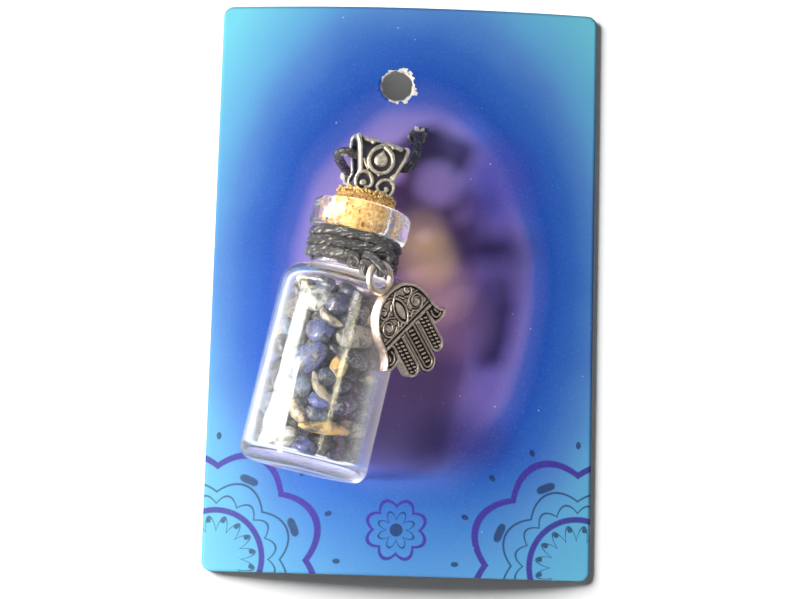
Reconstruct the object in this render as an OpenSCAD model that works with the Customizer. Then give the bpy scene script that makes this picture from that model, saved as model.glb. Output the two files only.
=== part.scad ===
// A small corked glass bottle of tumbled stone chips, worn as a pendant, lying on its display card.
// The card lies along +Y with its face to +Z; the origin is under the card's centre, on the surface.

/* [Card] */
// Width of the card
card_w = 60; // [48:0.5:80]
// Height of the card
card_h = 90; // [84:0.5:120]
// Thickness of the card
card_t = 0.5; // [0.3:0.05:0.8]
// How far the middle of the card arches up from its long edges
card_arch = 2.4; // [2.2:0.05:3]
// Radius of the card's corners
card_corner = 1.5; // [0.5:0.1:4]
// Diameter of the hole that the card hangs from
hang_hole_d = 5; // [3:0.1:8]
// Sideways place of the hang hole
hang_hole_x = -1.8; // [-5:0.1:5]
// Distance of the hang hole's centre from the card's top edge
hang_hole_drop = 12.9; // [8:0.1:14]
// Diameter of the two holes that the hanging cord goes through
cord_hole_d = 2.2; // [2.1:0.05:3]

/* [Bottle] */
// Sideways place of the centre of the bottle's base
bottle_x = -14.5; // [-16:0.1:-13]
// Place of the bottle's base along the card
bottle_y = -29.9; // [-31:0.1:-29]
// Lean of the bottle from the card's long side, in degrees
bottle_lean = 11.5; // [10:0.1:13]
// Outer diameter of the bottle's body
body_d = 19.5; // [18.5:0.1:21]
// Length from the base to the top of the shoulder
body_len = 30.5; // [29:0.1:31]
// Rounding of the bottle's base edge
base_round = 2; // [1:0.1:3]
// Rounding of the shoulder
shoulder_round = 3.3; // [2:0.1:3.5]
// Outer diameter of the neck
neck_d = 11.2; // [10.5:0.1:11.8]
// Length of the neck between the shoulder and the lip
neck_len = 6.1; // [6:0.1:7]
// Fillet where the neck meets the shoulder
neck_fillet = 0.8; // [0.3:0.05:0.8]
// Outer diameter of the lip
lip_d = 15.1; // [14:0.1:16]
// Height of the lip
lip_h = 4.4; // [3.5:0.1:5]
// Rounding of the lip's rims
lip_round = 0.9; // [0.4:0.05:1.4]
// Thickness of the glass wall
glass_wall = 1.3; // [1:0.05:1.6]
// Thickness of the glass base
glass_base = 1.8; // [1.2:0.05:3]

/* [Stopper] */
// Length of cork inside the neck
cork_depth = 6.4; // [4:0.1:8]
// Height of the cork's crumbled head above the lip
cork_rise = 1.9; // [1.4:0.1:2.4]
// Diameter of the cork's crumbled head
cork_head_d = 9.5; // [9.2:0.1:11]
// Height of the glue lump on the cork
glue_h = 0.9; // [0.5:0.05:1.5]
// Diameter of the glue lump
glue_d = 9.4; // [9.3:0.1:9.5]

/* [Bail] */
// Height of the bail above the cork
bail_h = 8.7; // [8:0.1:10]
// Width of the bail at its top
bail_top_w = 8.8; // [7.5:0.1:9.5]
// Width of the bail at its waist
bail_waist_w = 5.6; // [4.8:0.1:6]
// Width of the bail at its foot
bail_foot_w = 6.6; // [6:0.1:6.8]
// Depth of the bail's loop near its top
bail_top_depth = 4.5; // [4.3:0.1:5.4]
// Depth of the bail at its foot
bail_foot_depth = 3.2; // [2.8:0.1:3.6]
// Width of the raised lines on the bail
bail_line = 0.55; // [0.4:0.05:0.7]
// Thickness of the bail's metal
bail_wall = 0.8; // [0.6:0.05:0.9]
// Height of the ornament above the bail's metal
bail_relief = 0.4; // [0.2:0.05:0.6]
// Turn of the bail about the bottle's length, in degrees
bail_turn = 20; // [0:1:30]
// How far the bail stands off the bottle's centre, to the right
bail_right = 0.3; // [0:0.1:0.4]
// How far the bail stands off the bottle's centre, towards the viewer
bail_forward = 0.5; // [0:0.1:0.7]
// Diameter of the bail's peg in the cork
peg_d = 1.6; // [1:0.1:2.4]
// Length of the bail's peg
peg_len = 5; // [3:0.1:5.5]

/* [Cord] */
// Diameter of the waxed cord
cord_d = 1.5; // [1.2:0.05:1.5]
// Turns of cord round the neck
wrap_turns = 3; // [2:1:3]
// Distance between two turns
wrap_pitch = 1.55; // [1.55:0.01:1.6]
// Diameter of the knot that ties the charm
knot_d = 2.7; // [2:0.1:3]

/* [Charm] */
// Width of the charm from thumb to thumb
charm_w = 15.2; // [14:0.1:18]
// Height of the charm's hand, without its ring
charm_h = 15; // [14:0.1:18]
// Thickness of the charm's plate
charm_plate = 1.35; // [1:0.05:1.6]
// Height of the charm's relief above its plate
charm_relief = 0.45; // [0.2:0.05:0.7]
// Outer diameter of the charm's ring
ring_d = 5.2; // [4.9:0.1:5.3]
// Thickness of the ring's wire
ring_wire = 1.05; // [0.9:0.05:1.2]
// Width of the raised lines on the charm
line_w = 0.45; // [0.35:0.01:0.5]
// Place of the charm round the bottle, in degrees from the front
charm_round = 44; // [40:1:50]
// Turn of the charm in its own plane, in degrees
charm_turn = 53; // [48:1:56]
// Place of the ring along the bottle, below the underside of the lip
ring_drop = 7.05; // [6.9:0.05:7.4]
// Place of the ring to the left of the line where the charm touches the bottle
ring_left = 3.1; // [2.9:0.1:3.3]

/* [Stones] */
// Layers of chips along the bottle
chip_layers = 9; // [6:1:10]
// Space left above the chips, under the glass of the shoulder
chip_headroom = 1.6; // [1.6:0.1:8]
// Clearance between neighbouring chips
chip_gap = 0.16; // [0.12:0.01:0.3]

/* [Hidden] */
smooth = 96;
fine = 48;
over = 0.01;

// Clearances
rest_gap = 0.1;
cork_gap = 0.05;
seat_gap = 0.06;
charm_gap = 0.3;

// Card
arc_in = (card_w * card_w / 4 + card_arch * card_arch) / (2 * card_arch);
arc_out = arc_in + card_t;
arc_z = card_arch - arc_in;
hang_hole_y = card_h / 2 - hang_hole_drop;
cord_holes = [[1.5, 23.9], [-8.5, 17.0]];

// Bottle, along its own length from the base
body_r = body_d / 2;
neck_r = neck_d / 2;
bore_r = neck_r - glass_wall;
lip_z = body_len + neck_len;
mouth_z = lip_z + lip_h;
wall_end = body_len - shoulder_round;
touch_x = bottle_x + wall_end * sin(bottle_lean);
axis_z = arc_z + sqrt(pow(arc_out + body_r + rest_gap, 2) - touch_x * touch_x);

// Stopper and bail
head_z = mouth_z + cork_rise;
bail_z = head_z + seat_gap;
bail_half = bail_top_depth / 2;
bail_bend = bail_h - bail_half;
bail_floor = 1.3;
bail_inset = 0.06;
foot_half = bail_foot_depth / 2;

// Cord
cord_r = cord_d / 2;
cord_sides = 8;
wrap_r = neck_r + seat_gap + cord_r;
wrap_top = lip_z - seat_gap - cord_r;
wrap_back = 170;
wrap_step = 60;
wrap_parts = 20;

// The charm's tie: its loop over the ring and back behind it, and its knots, from the underside of the
// lip, in the bottle's own directions
tie_r = cord_r * 0.76;
tie_side = [0.46, 0.45, 0.77];
tie_loop = [[2.5, -8.1, -4.3], [2.9, -10.4, -4.1], [4, -11.9, -4.7], [5, -12.2, -5.4], [5.6, -11.6, -6],
            [5.5, -10.5, -6.4], [5.2, -9.3, -6.2], [5.3, -8, -5.2], [6, -7.5, -3.8], [5.9, -8, -2.7],
            [4.4, -8.8, -2.5]];
tie_knots = [[1, -8.4, -4.9], [2.7, -8.9, -5.6], [2.5, -8.1, -4.3]];

// The hanging cord's route, through the bail and the card's two holes and back behind the card
hang_side = [-0.57, 0.82, 0];
hang_route = [[-4.8, 17.7, 13.2], [-0.9, 16.9, 11.9], [0.6, 17.4, 11.1], [1.4, 19.2, 9.6], [1.7, 21.6, 7.2],
              [1.6, 23.5, 4.8], [1.5, 23.9, 2.7], [1.1, 23.6, 1.5], [0, 22.8, 1.1], [-3.5, 20.4, 1.1],
              [-7.1, 18, 1.1], [-8.1, 17.3, 1.4], [-8.5, 17, 2.6], [-8.7, 17.1, 4.8], [-9.5, 17.5, 7.4],
              [-10.2, 18, 10.2], [-10.4, 18.4, 12.6], [-9.8, 18.6, 14.3], [-8.7, 18.5, 14.6]];

// Charm
ring_r = (ring_d - ring_wire) / 2;
charm_t = charm_plate + charm_relief;
ring_z = lip_z - ring_drop;
dome_y = -ring_d / 2 + ring_wire / 4;

// Stones
chip_r = body_r - glass_wall;
chip_wave = 0.5;
chip_low = glass_base + chip_gap;
chip_high = body_len - glass_wall - chip_headroom;

// Places a piece that is drawn standing at the bottle's base: its length goes along the bottle
module on_bottle() {
    translate([bottle_x, bottle_y, axis_z])
        rotate([0, 0, -bottle_lean])
            rotate([-90, 0, 0])
                children();
}

// Half outline of a round slab whose two rims are rounded
module slab_half(radius, low, high, low_round, high_round) {
    mid = high - low - low_round - high_round;
    translate([0, low])
        square([radius - low_round, (high - low) / 2]);
    translate([0, (low + high) / 2])
        square([radius - high_round, (high - low) / 2]);
    if (mid > 0)
        translate([0, low + low_round])
            square([radius, mid]);
    intersection() {
        translate([0, low])
            square([radius, high - low]);
        union() {
            translate([radius - low_round, low + low_round])
                circle(low_round, $fn = fine);
            translate([radius - high_round, high - high_round])
                circle(high_round, $fn = fine);
        }
    }
}

// A drop shape: a round of radius r whose point is h above its centre
module drop(r, h) {
    side = asin(r / h);
    circle(r, $fn = fine);
    polygon([[-r * cos(side), r * sin(side)], [r * cos(side), r * sin(side)], [0, h]]);
}

// A flat ring with a dot in it, as an ornament's curl
module curl(r, line, dot) {
    difference() {
        circle(r, $fn = fine);
        circle(r - line, $fn = fine);
    }
    circle(dot, $fn = fine);
}

module card_outline() {
    inner_w = card_w - 2 * card_corner;
    inner_h = card_h - 2 * card_corner;
    square([card_w, inner_h], center = true);
    square([inner_w, card_h], center = true);
    for (x = [-1, 1], y = [-1, 1])
        translate([x * inner_w / 2, y * inner_h / 2])
            circle(card_corner, $fn = fine);
}

module card() {
    tall = card_arch + card_t + 1;
    color("royalblue")
    difference() {
        intersection() {
            linear_extrude(tall)
                card_outline();
            rotate([90, 0, 0])
                linear_extrude(card_h + 2, center = true)
                    translate([0, arc_z])
                        difference() {
                            circle(arc_out, $fn = 720);
                            circle(arc_in, $fn = 720);
                        }
        }
        translate([hang_hole_x, hang_hole_y, -1])
            cylinder(h = tall + 2, d = hang_hole_d, $fn = fine);
        for (p = cord_holes)
            translate([p[0], p[1], -1])
                cylinder(h = tall + 2, d = cord_hole_d, $fn = fine);
    }
}

module glass_half() {
    difference() {
        union() {
            slab_half(body_r, 0, body_len, base_round, shoulder_round);
            translate([0, body_len - over])
                square([neck_r, neck_len + 2 * over]);
            translate([neck_r - over, body_len - over])
                square([neck_fillet + over, neck_fillet + over]);
            slab_half(lip_d / 2, lip_z, mouth_z, lip_round, lip_round);
        }
        translate([neck_r + neck_fillet, body_len + neck_fillet])
            circle(neck_fillet, $fn = fine);
        slab_half(body_r - glass_wall, glass_base, body_len - glass_wall, max(base_round - glass_wall, 0.5),
                  max(shoulder_round - glass_wall, 0.5));
        translate([0, body_len / 2])
            square([bore_r, mouth_z]);
    }
}

module bottle() {
    color("lightcyan", 0.4)
        on_bottle()
            rotate_extrude($fn = smooth)
                glass_half();
}

module cork() {
    shaft_r = bore_r - cork_gap;
    hole_r = peg_d / 2 + cork_gap;
    color("goldenrod")
    on_bottle()
        difference() {
            rotate_extrude($fn = smooth) {
                translate([0, mouth_z - cork_depth])
                    square([shaft_r, cork_depth + cork_rise / 2]);
                slab_half(cork_head_d / 2, mouth_z + seat_gap, head_z, 0.2, cork_rise * 0.58);
            }
            translate([0, 0, bail_z - peg_len - cork_gap])
                cylinder(h = peg_len + 1, r = hole_r, $fn = fine);
        }
}

// Places a piece that is drawn on the bail's foot: width along X, front to -Y, height along Z
module on_cork() {
    on_bottle()
        translate([bail_right, -bail_forward, bail_z])
            rotate([0, 0, bail_turn])
                children();
}

module bail_outline() {
    round_r = bail_foot_w / 4;
    waist_z = bail_h * 0.3;
    shoulder_z = bail_h * 0.93;
    for (x = [-1, 1])
        translate([x * round_r, round_r])
            circle(round_r, $fn = fine);
    polygon([[-round_r, 0], [round_r, 0], [bail_waist_w / 2, waist_z], [bail_top_w / 2, shoulder_z],
             [bail_top_w * 0.44, bail_h], [bail_top_w * 0.1, bail_h], [0, bail_h * 0.95],
             [-bail_top_w * 0.1, bail_h], [-bail_top_w * 0.44, bail_h], [-bail_top_w / 2, shoulder_z],
             [-bail_waist_w / 2, waist_z]]);
}

// The bail's loop seen from its side, grown by a given amount, from a given height up
module bail_side(grow, low) {
    low_half = bail_reach(low) + grow;
    translate([0, bail_bend])
        circle(bail_half + grow, $fn = smooth);
    polygon([[-low_half, low], [low_half, low], [bail_half + grow, bail_bend], [-bail_half - grow, bail_bend]]);
}

// Half the bail's depth at a height above its foot
function bail_reach(z) = foot_half + (bail_half - foot_half) * z / bail_bend;

module bail_ornament() {
    drop_z = bail_h * 0.52;
    drop_r = bail_top_w * 0.22;
    drop_point = 1.6;
    curl_r = bail_foot_w / 4;
    waist_z = bail_h * 0.3;
    shoulder_z = bail_h * 0.93;
    translate([0, drop_z]) {
        difference() {
            drop(drop_r, drop_r * drop_point);
            drop(drop_r - bail_line, (drop_r - bail_line) * drop_point);
        }
        drop(drop_r * 0.45, drop_r * 0.8);
    }
    waist_x = bail_waist_w / 2 - bail_inset;
    top_x = bail_top_w / 2 - bail_inset;
    for (x = [-1, 1]) {
        translate([x * curl_r, curl_r])
            curl(curl_r - bail_inset, bail_line, curl_r * 0.3);
        polygon([[x * waist_x, waist_z], [x * top_x, shoulder_z], [x * (top_x - bail_line), shoulder_z],
                 [x * (waist_x - bail_line), waist_z]]);
        translate([x * bail_top_w * 0.25, shoulder_z])
            rotate(x * -20)
                square([bail_top_w * 0.27, bail_line * 1.4], center = true);
    }
}

// A shape of the bail's side, drawn through from left to right
module through_bail(w) {
    rotate([90, 0, 90])
        linear_extrude(w, center = true)
            children();
}

module bail() {
    wide = bail_top_w + 2;
    deep = bail_top_depth + 2;
    color("silver") {
        on_cork()
            difference() {
                union() {
                    intersection() {
                        through_bail(wide)
                            bail_side(0, -1);
                        rotate([90, 0, 0])
                            linear_extrude(deep, center = true)
                                bail_outline();
                    }
                    intersection() {
                        through_bail(wide)
                            bail_side(bail_relief, -1);
                        rotate([90, 0, 0])
                            linear_extrude(deep, center = true)
                                bail_ornament();
                    }
                }
                through_bail(wide + 2)
                    bail_side(-bail_wall, bail_floor);
            }
        on_bottle()
            translate([0, 0, bail_z - peg_len])
                cylinder(h = peg_len + bail_floor / 2, d = peg_d, $fn = fine);
    }
}

module glue_bead() {
    cut_w = bail_foot_w + 2 * seat_gap;
    cut_d = 2 * (bail_reach(glue_h) + bail_relief + seat_gap);
    color("orange")
    difference() {
        on_bottle()
            rotate_extrude($fn = smooth)
                slab_half(glue_d / 2, bail_z, bail_z + glue_h, 0.1, glue_h * 0.7);
        on_cork()
            translate([-cut_w / 2, -cut_d / 2, -1])
                cube([cut_w, cut_d, glue_h + 2]);
    }
}

function smooth_step(s) = s * s * (3 - 2 * s);

// Points of a ring of the tube round a point of its route, in the plane across dir
function tube_ring(at, dir, side, r) = let (
    d = dir / norm(dir),
    u = (side - d * (side * d)) / norm(side - d * (side * d)),
    v = cross(d, u)
) [for (k = [0:cord_sides - 1]) let (a = k * 360 / cord_sides) at + r * (cos(a) * u + sin(a) * v)];

// A tube along a route; side is a direction that the route never takes, one for each point
module tube(route, sides, r, closed) {
    n = len(route);
    last = n - 1;
    dirs = [for (i = [0:last]) closed ? route[(i + 1) % n] - route[(i + last) % n]
                                      : route[min(i + 1, last)] - route[max(i - 1, 0)]];
    points = [for (i = [0:last]) each tube_ring(route[i], dirs[i], sides[i], r)];
    spans = closed ? n : last;
    walls = [for (i = [0:spans - 1], k = [0:cord_sides - 1]) let (
        a = i * cord_sides + k,
        b = i * cord_sides + (k + 1) % cord_sides,
        c = ((i + 1) % n) * cord_sides + (k + 1) % cord_sides,
        d = ((i + 1) % n) * cord_sides + k
    ) each [[a, d, c], [a, c, b]]];
    caps = closed ? [] : [[for (k = [0:cord_sides - 1]) k],
                          [for (k = [cord_sides - 1:-1:0]) last * cord_sides + k]];
    polyhedron(points, concat(walls, caps));
}

// Height of the wound cord at angle a, counted in degrees from where it starts
function wrap_height(a) = let (
    turn = floor(a / 360),
    part = max(0, (a - turn * 360 - 360 + wrap_step) / wrap_step)
) wrap_top - wrap_pitch * (turn + smooth_step(part));

module neck_wrap() {
    sweep = 360 * wrap_turns - wrap_step;
    steps = wrap_parts * wrap_turns;
    angles = [for (i = [0:steps]) sweep * i / steps];
    route = [for (a = angles) let (b = a + wrap_back) [wrap_r * sin(b), -wrap_r * cos(b), wrap_height(a)]];
    color("dimgray")
    on_bottle()
        tube(route, [for (p = route) [p[0], p[1], 0]], cord_r, false);
}

// Places a piece that is drawn on the charm's ring: width along X, the ring's top along Y, front to +Z
module on_ring() {
    on_bottle()
        rotate([0, 0, charm_round])
            translate([-ring_left, -body_r - charm_gap, ring_z])
                rotate([90, 0, 0])
                    rotate([0, 0, charm_turn])
                        children();
}

// A smooth closed route through a few chosen points, with a number of steps between each two
function closed_curve(points, steps) = let (n = len(points)) [for (i = [0:n - 1], k = [0:steps - 1]) let (
    a = points[(i + n - 1) % n],
    b = points[i],
    c = points[(i + 1) % n],
    d = points[(i + 2) % n],
    s = k / steps
) b + 0.5 * s * (c - a + s * (2 * a - 5 * b + 4 * c - d + s * (3 * b - a - 3 * c + d)))];

module charm_tie() {
    route = closed_curve(tie_loop, 4);
    color("dimgray")
    on_bottle() {
        translate([0, 0, lip_z]) {
            tube(route, [for (p = route) tie_side], tie_r, true);
            for (p = tie_knots)
                translate(p)
                    sphere(knot_d / 2, $fn = 12);
        }
    }
}

// The hand's outline, as shares of half the width across and of the height down
function bezier(a, b, c, d, n) = [for (i = [0:n - 1]) let (s = i / n, q = 1 - s)
    q * q * q * a + 3 * q * q * s * b + 3 * q * s * s * c + s * s * s * d];
palm_half = concat(
    bezier([0, 0], [0.36, 0], [0.74, 0.1], [0.79, 0.42], 10),
    bezier([0.79, 0.42], [0.82, 0.52], [0.9, 0.58], [1, 0.6], 5),
    bezier([1, 0.6], [0.96, 0.67], [0.74, 0.68], [0.56, 0.64], 6),
    [[0.56, 0.64], [0.5, 0.5]]);
palm = concat([for (p = palm_half) [p[0], -p[1]]],
              [for (i = [len(palm_half) - 1:-1:1]) [-palm_half[i][0], -palm_half[i][1]]]);
palm_points = [for (p = palm) [p[0] * charm_w / 2, p[1] * charm_h]];

// Moves each point of an outline inwards by d
function inset(points, d) = let (n = len(points)) [for (i = [0:n - 1]) let (
    along = points[(i + 1) % n] - points[(i + n - 1) % n],
    inward = [along[1], -along[0]] / norm(along)
) points[i] + d * inward];

// A finger with a round end, hanging down from the band
module finger(across, top, tip, w) {
    r = w / 2;
    translate([across - r, tip + r])
        square([w, top - tip - r]);
    translate([across, tip + r])
        circle(r, $fn = fine);
}

band_y = -0.45 * charm_h;
side_x = 0.4 * charm_w / 2;
side_w = 0.37 * charm_w / 2;
side_tip = -0.91 * charm_h;
mid_w = 0.45 * charm_w / 2;

module hand() {
    polygon(palm_points);
    finger(0, band_y, -charm_h, mid_w);
    for (x = [-1, 1])
        finger(x * side_x, band_y, side_tip, side_w);
}

module finger_line(across, tip, w) {
    difference() {
        finger(across, band_y, tip, w);
        finger(across, band_y + 1, tip + line_w, w - 2 * line_w);
    }
}

module palm_ornament() {
    eye_y = -0.26 * charm_h;
    eye_r = 0.17 * charm_h;
    eye_off = 0.11 * charm_h;
    difference() {
        intersection() {
            eye_round(-eye_off, eye_y, eye_r + line_w / 2);
            eye_round(eye_off, eye_y, eye_r + line_w / 2);
        }
        intersection() {
            eye_round(-eye_off, eye_y, eye_r - line_w / 2);
            eye_round(eye_off, eye_y, eye_r - line_w / 2);
        }
    }
    for (x = [-1, 1]) {
        translate([x * 0.29 * charm_w / 2, -0.15 * charm_h])
            curl(0.07 * charm_h, line_w, line_w * 0.5);
        translate([x * 0.53 * charm_w / 2, -0.31 * charm_h])
            curl(0.1 * charm_h, line_w, line_w * 0.9);
        translate([x * 0.78 * charm_w / 2, -0.585 * charm_h])
            curl(0.05 * charm_h, line_w * 0.8, line_w * 0.3);
    }
}

module eye_round(x, y, r) {
    translate([x, y])
        circle(r, $fn = fine);
}

module hand_relief() {
    difference() {
        polygon(palm_points);
        polygon(inset(palm_points, line_w));
    }
    translate([-0.8 * charm_w / 2, band_y - line_w / 2])
        square([0.8 * charm_w, line_w]);
    palm_ornament();
    finger_line(0, -charm_h, mid_w);
    finger_line(0, -charm_h + 1.5 * line_w, mid_w - 3 * line_w);
    rungs = 9;
    rung_w = (mid_w - 5 * line_w) * 0.8;
    rung_gap = (charm_h * 0.44) / rungs;
    for (i = [0:rungs - 1])
        translate([-rung_w / 2, band_y - (i + 0.9) * rung_gap])
            square([rung_w, rung_gap * 0.5]);
    for (x = [-1, 1]) {
        finger_line(x * side_x, side_tip, side_w);
        dots = 8;
        dot_gap = (band_y - side_tip - side_w * 0.5) / dots;
        for (i = [0:dots - 1], column = [-1, 1])
            translate([x * side_x + column * side_w * 0.16, band_y - (i + 0.8 + column * 0.15) * dot_gap])
                circle(side_w * 0.1, $fn = 16);
    }
}

module hamsa_charm() {
    color("silver")
    on_ring() {
        translate([0, dome_y, 0]) {
            linear_extrude(charm_plate)
                hand();
            linear_extrude(charm_t)
                intersection() {
                    hand_relief();
                    hand();
                }
        }
        translate([0, 0, charm_t / 2])
            rotate_extrude($fn = fine)
                translate([ring_r, 0])
                    circle(ring_wire / 2, $fn = 24);
    }
}

// Corners of a chip in its cell, before it is bent round the bottle: a ball of twenty faces
golden = (1 + sqrt(5)) / 2;
ball_points = [for (a = [-1, 1], b = [-golden, golden]) each [[0, a, b], [a, b, 0], [b, 0, a]]] / golden;
// Its faces: each three corners that are one edge apart, taken the way round that faces outwards
ball_faces = [for (i = [0:11], j = [0:11], k = [0:11])
    if (i < j && i < k && j != k)
        if (is_face(ball_points[i], ball_points[j], ball_points[k])) [i, j, k]];
function is_face(a, b, c) = let (edge = 2 / golden)
    abs(norm(a - b) - edge) < 0.01 && abs(norm(b - c) - edge) < 0.01 && abs(norm(c - a) - edge) < 0.01
    && cross(b - a, c - a) * a < 0;

// One chip, bent round the bottle: middle at radius r, angle a and height z, with its half sizes
// out, round (in degrees) and along
module chip(r, a, z, half, seed) {
    jag = rands(0.84, 1, 12, seed);
    points = [for (i = [0:11]) let (
        p = ball_points[i] * jag[i],
        out = r + p[0] * half[0],
        turn = a + p[1] * half[1]
    ) [out * cos(turn), out * sin(turn), z + chip_wave * sin(2 * turn) + p[2] * half[2]]];
    polyhedron(points, ball_faces);
}

// Sum of the first n values of a list
function sum(list, n) = n == 0 ? 0 : list[n - 1] + sum(list, n - 1);

// Each ring of chips: middle and half thickness as shares of the inner radius, and how many chips
chip_rings = [[0.835, 0.15, 10], [0.53, 0.14, 7], [0.2, 0.165, 3]];

module stones() {
    layer_h = (chip_high - chip_low - 2 * chip_wave) / chip_layers;
    color("midnightblue")
    on_bottle()
        for (layer = [0:chip_layers - 1], ring = [0:len(chip_rings) - 1]) {
            r = chip_rings[ring][0] * chip_r;
            half_out = chip_rings[ring][1] * chip_r - chip_gap / 2;
            count = chip_rings[ring][2];
            seed = 100 * layer + 10 * ring;
            lengths = rands(0.7, 1.3, count, seed);
            start = rands(0, 360, 1, seed + 1)[0];
            gap_a = chip_gap / 2 / max(r - half_out, 1) * 180 / PI;
            for (i = [0:count - 1]) {
                half_a = 180 * lengths[i] / sum(lengths, count);
                middle = start + 360 * sum(lengths, i) / sum(lengths, count) + half_a;
                chip(r, middle, chip_low + chip_wave + (layer + 0.5) * layer_h,
                     [half_out, half_a - gap_a, layer_h / 2 - chip_gap / 2], seed + 2 + i);
            }
        }
}

module hang_cord() {
    route = closed_curve(hang_route, 3);
    color("dimgray")
        tube(route, [for (p = route) hang_side], cord_r, true);
}

card();
bottle();
cork();
glue_bead();
bail();
neck_wrap();
charm_tie();
hamsa_charm();
stones();
hang_cord();
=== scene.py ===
# A small corked bottle of lapis chips with a cast bail and a hand charm, lying on its display card.
# Lengths are in millimetres until a mesh is made. The card lies along +Y with its face to +Z.
from collections import namedtuple

import bmesh
import bpy
import numpy as np
from mathutils import Matrix, Vector


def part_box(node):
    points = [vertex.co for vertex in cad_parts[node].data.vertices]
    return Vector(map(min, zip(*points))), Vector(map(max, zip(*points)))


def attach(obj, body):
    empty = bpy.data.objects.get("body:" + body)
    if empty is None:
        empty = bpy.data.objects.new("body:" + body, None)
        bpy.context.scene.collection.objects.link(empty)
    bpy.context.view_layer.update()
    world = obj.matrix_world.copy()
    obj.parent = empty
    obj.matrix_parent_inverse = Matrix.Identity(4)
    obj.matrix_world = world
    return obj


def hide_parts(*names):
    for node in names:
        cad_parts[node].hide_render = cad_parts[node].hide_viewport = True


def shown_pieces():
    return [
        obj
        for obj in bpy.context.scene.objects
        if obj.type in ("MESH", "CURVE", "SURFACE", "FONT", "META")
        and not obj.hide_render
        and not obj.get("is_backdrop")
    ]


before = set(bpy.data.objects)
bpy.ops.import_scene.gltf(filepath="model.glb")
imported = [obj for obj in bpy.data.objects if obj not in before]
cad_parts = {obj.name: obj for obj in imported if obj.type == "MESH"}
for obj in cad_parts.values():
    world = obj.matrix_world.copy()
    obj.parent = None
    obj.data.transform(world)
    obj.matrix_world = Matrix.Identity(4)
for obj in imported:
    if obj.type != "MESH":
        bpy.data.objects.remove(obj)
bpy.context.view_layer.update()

MM = 0.001


def cad_box(node):
    """Lowest and highest corner of a CAD node, in millimetres."""
    low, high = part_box(node)
    return np.array(low) / MM, np.array(high) / MM


# Card
card_low, card_high = cad_box("card")
card_w, card_h = (card_high - card_low)[:2]
card_t = 0.5
card_arch = card_high[2] - card_t
card_corner = 1.5
arc_in = (card_w ** 2 / 4 + card_arch ** 2) / (2 * card_arch)
Hole = namedtuple("Hole", "centre r tear seed parting shreds long ring lean")
holes = (
    # tear is the depth of the ragged edge and seed its form, parting how far from it the layers of board
    # part, shreds and long the number and length of the slivers that stand up, ring the width of the
    # white board that shows and lean the side where it is widest
    Hole((-1.8, 32.1), 2.5, 0.09, 3, 0.8, 9, 0.55, 0.95, (0.9, 0.3)),
    Hole((1.5, 23.9), 1.1, 0.12, 11, 0.9, 8, 1.0, 0.8, (0.3, 0.9)),
    Hole((-8.5, 17.0), 1.1, 0.12, 12, 0.9, 6, 0.8, 0.8, (-0.6, 0.6)),
)

# Bottle, along its own length from the base
bottle_low, bottle_high = cad_box("bottle")
bottle_lean = 11.5
bottle_base = np.array([-14.5, -29.9, (bottle_low[2] + bottle_high[2]) / 2])
body_r = 9.75
body_len = 30.5
base_round = 2.0
base_dent = 0.35
dent_r = 30
shoulder_round = 3.3
neck_r = 5.6
neck_fillet = 0.8
lip_z = 36.6
lip_r = 7.55
lip_round = 0.9
mouth_z = 41.0
mouth_round = 0.5
glass_wall = 1.3
glass_base = 1.8
inner_r = body_r - glass_wall
inner_top = body_len - glass_wall
inner_base = 0.8
inner_shoulder = 2.0
inner_neck = 0.6
bore_r = neck_r - glass_wall

# Stopper
cork_r = bore_r + 0.02
cork_low = mouth_z - 6.4
cork_head_r = 4.75
cork_round = 1.1
head_z = mouth_z + 1.9
glue_r = 4.7

# Bail
bail_z = head_z + 0.06
bail_h = 8.7
bail_turn = 20
bail_right = 0.3
bail_forward = 0.5
bail_half = 2.25
bail_bend = bail_h - bail_half
bail_foot_r = 1.65
foot_half = 1.6
bail_wall = 0.8
bail_floor = 1.3
bail_relief = 0.4
peg_r = 0.8
peg_levels = (-4.9, 0.4)

# Cord
cord_r = 0.75
strand_pitch = 1.5
wrap_r = 6.41
wrap_top = lip_z - 0.81
wrap_pitch = 1.55
wrap_turns = 3
wrap_back = 170
wrap_step = 60
tie_r = 0.57
knot_size = 0.95
knot_cord_r = 0.6
tie_loop = [[2.5, -8.1, -4.3], [2.9, -10.4, -4.1], [4, -11.9, -4.7], [5, -12.2, -5.4], [5.6, -11.6, -6],
            [5.5, -10.5, -6.4], [5.2, -9.3, -6.2], [5.3, -8, -5.2], [6, -7.5, -3.8], [5.9, -8, -2.7],
            [4.4, -8.8, -2.5]]
tie_knots = [[1, -8.4, -4.9], [2.7, -8.9, -5.6], [2.5, -8.1, -4.3]]
hang_route = [[-4.8, 17.7, 13.2], [-0.9, 16.9, 11.9], [0.6, 17.4, 11.1], [1.4, 19.2, 9.6], [1.7, 21.6, 7.2],
              [1.6, 23.5, 4.8], [1.5, 23.9, 2.7], [1.1, 23.6, 1.5], [0, 22.8, 1.1], [-3.5, 20.4, 1.1],
              [-7.1, 18, 1.1], [-8.1, 17.3, 1.4], [-8.5, 17, 2.6], [-8.7, 17.1, 4.8], [-9.5, 17.5, 7.4],
              [-10.2, 18, 10.2], [-10.4, 18.4, 12.6], [-9.8, 18.6, 14.3], [-8.7, 18.5, 14.6]]

# Charm, drawn flat with its ring's middle at 0, 0 and its fingers down
charm_round = 44
charm_turn = 53
charm_gap = 0.3
charm_plate = 1.35
charm_relief = 0.45
charm_ground = 0.62
charm_h = 15.0
charm_half = 7.6
ring_left = 3.1
ring_z = lip_z - 7.05
ring_r = 2.075
ring_wire = 1.05
dome_y = -2.6 + ring_wire / 4
band_y = dome_y - 0.45 * charm_h
side_x = 0.4 * charm_half
side_half = 0.37 * charm_half / 2
side_tip = dome_y - 0.91 * charm_h
mid_half = 0.45 * charm_half / 2
mid_tip = dome_y - charm_h
finger_places = ((0, mid_tip, mid_half), (-side_x, side_tip, side_half), (side_x, side_tip, side_half))


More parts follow.
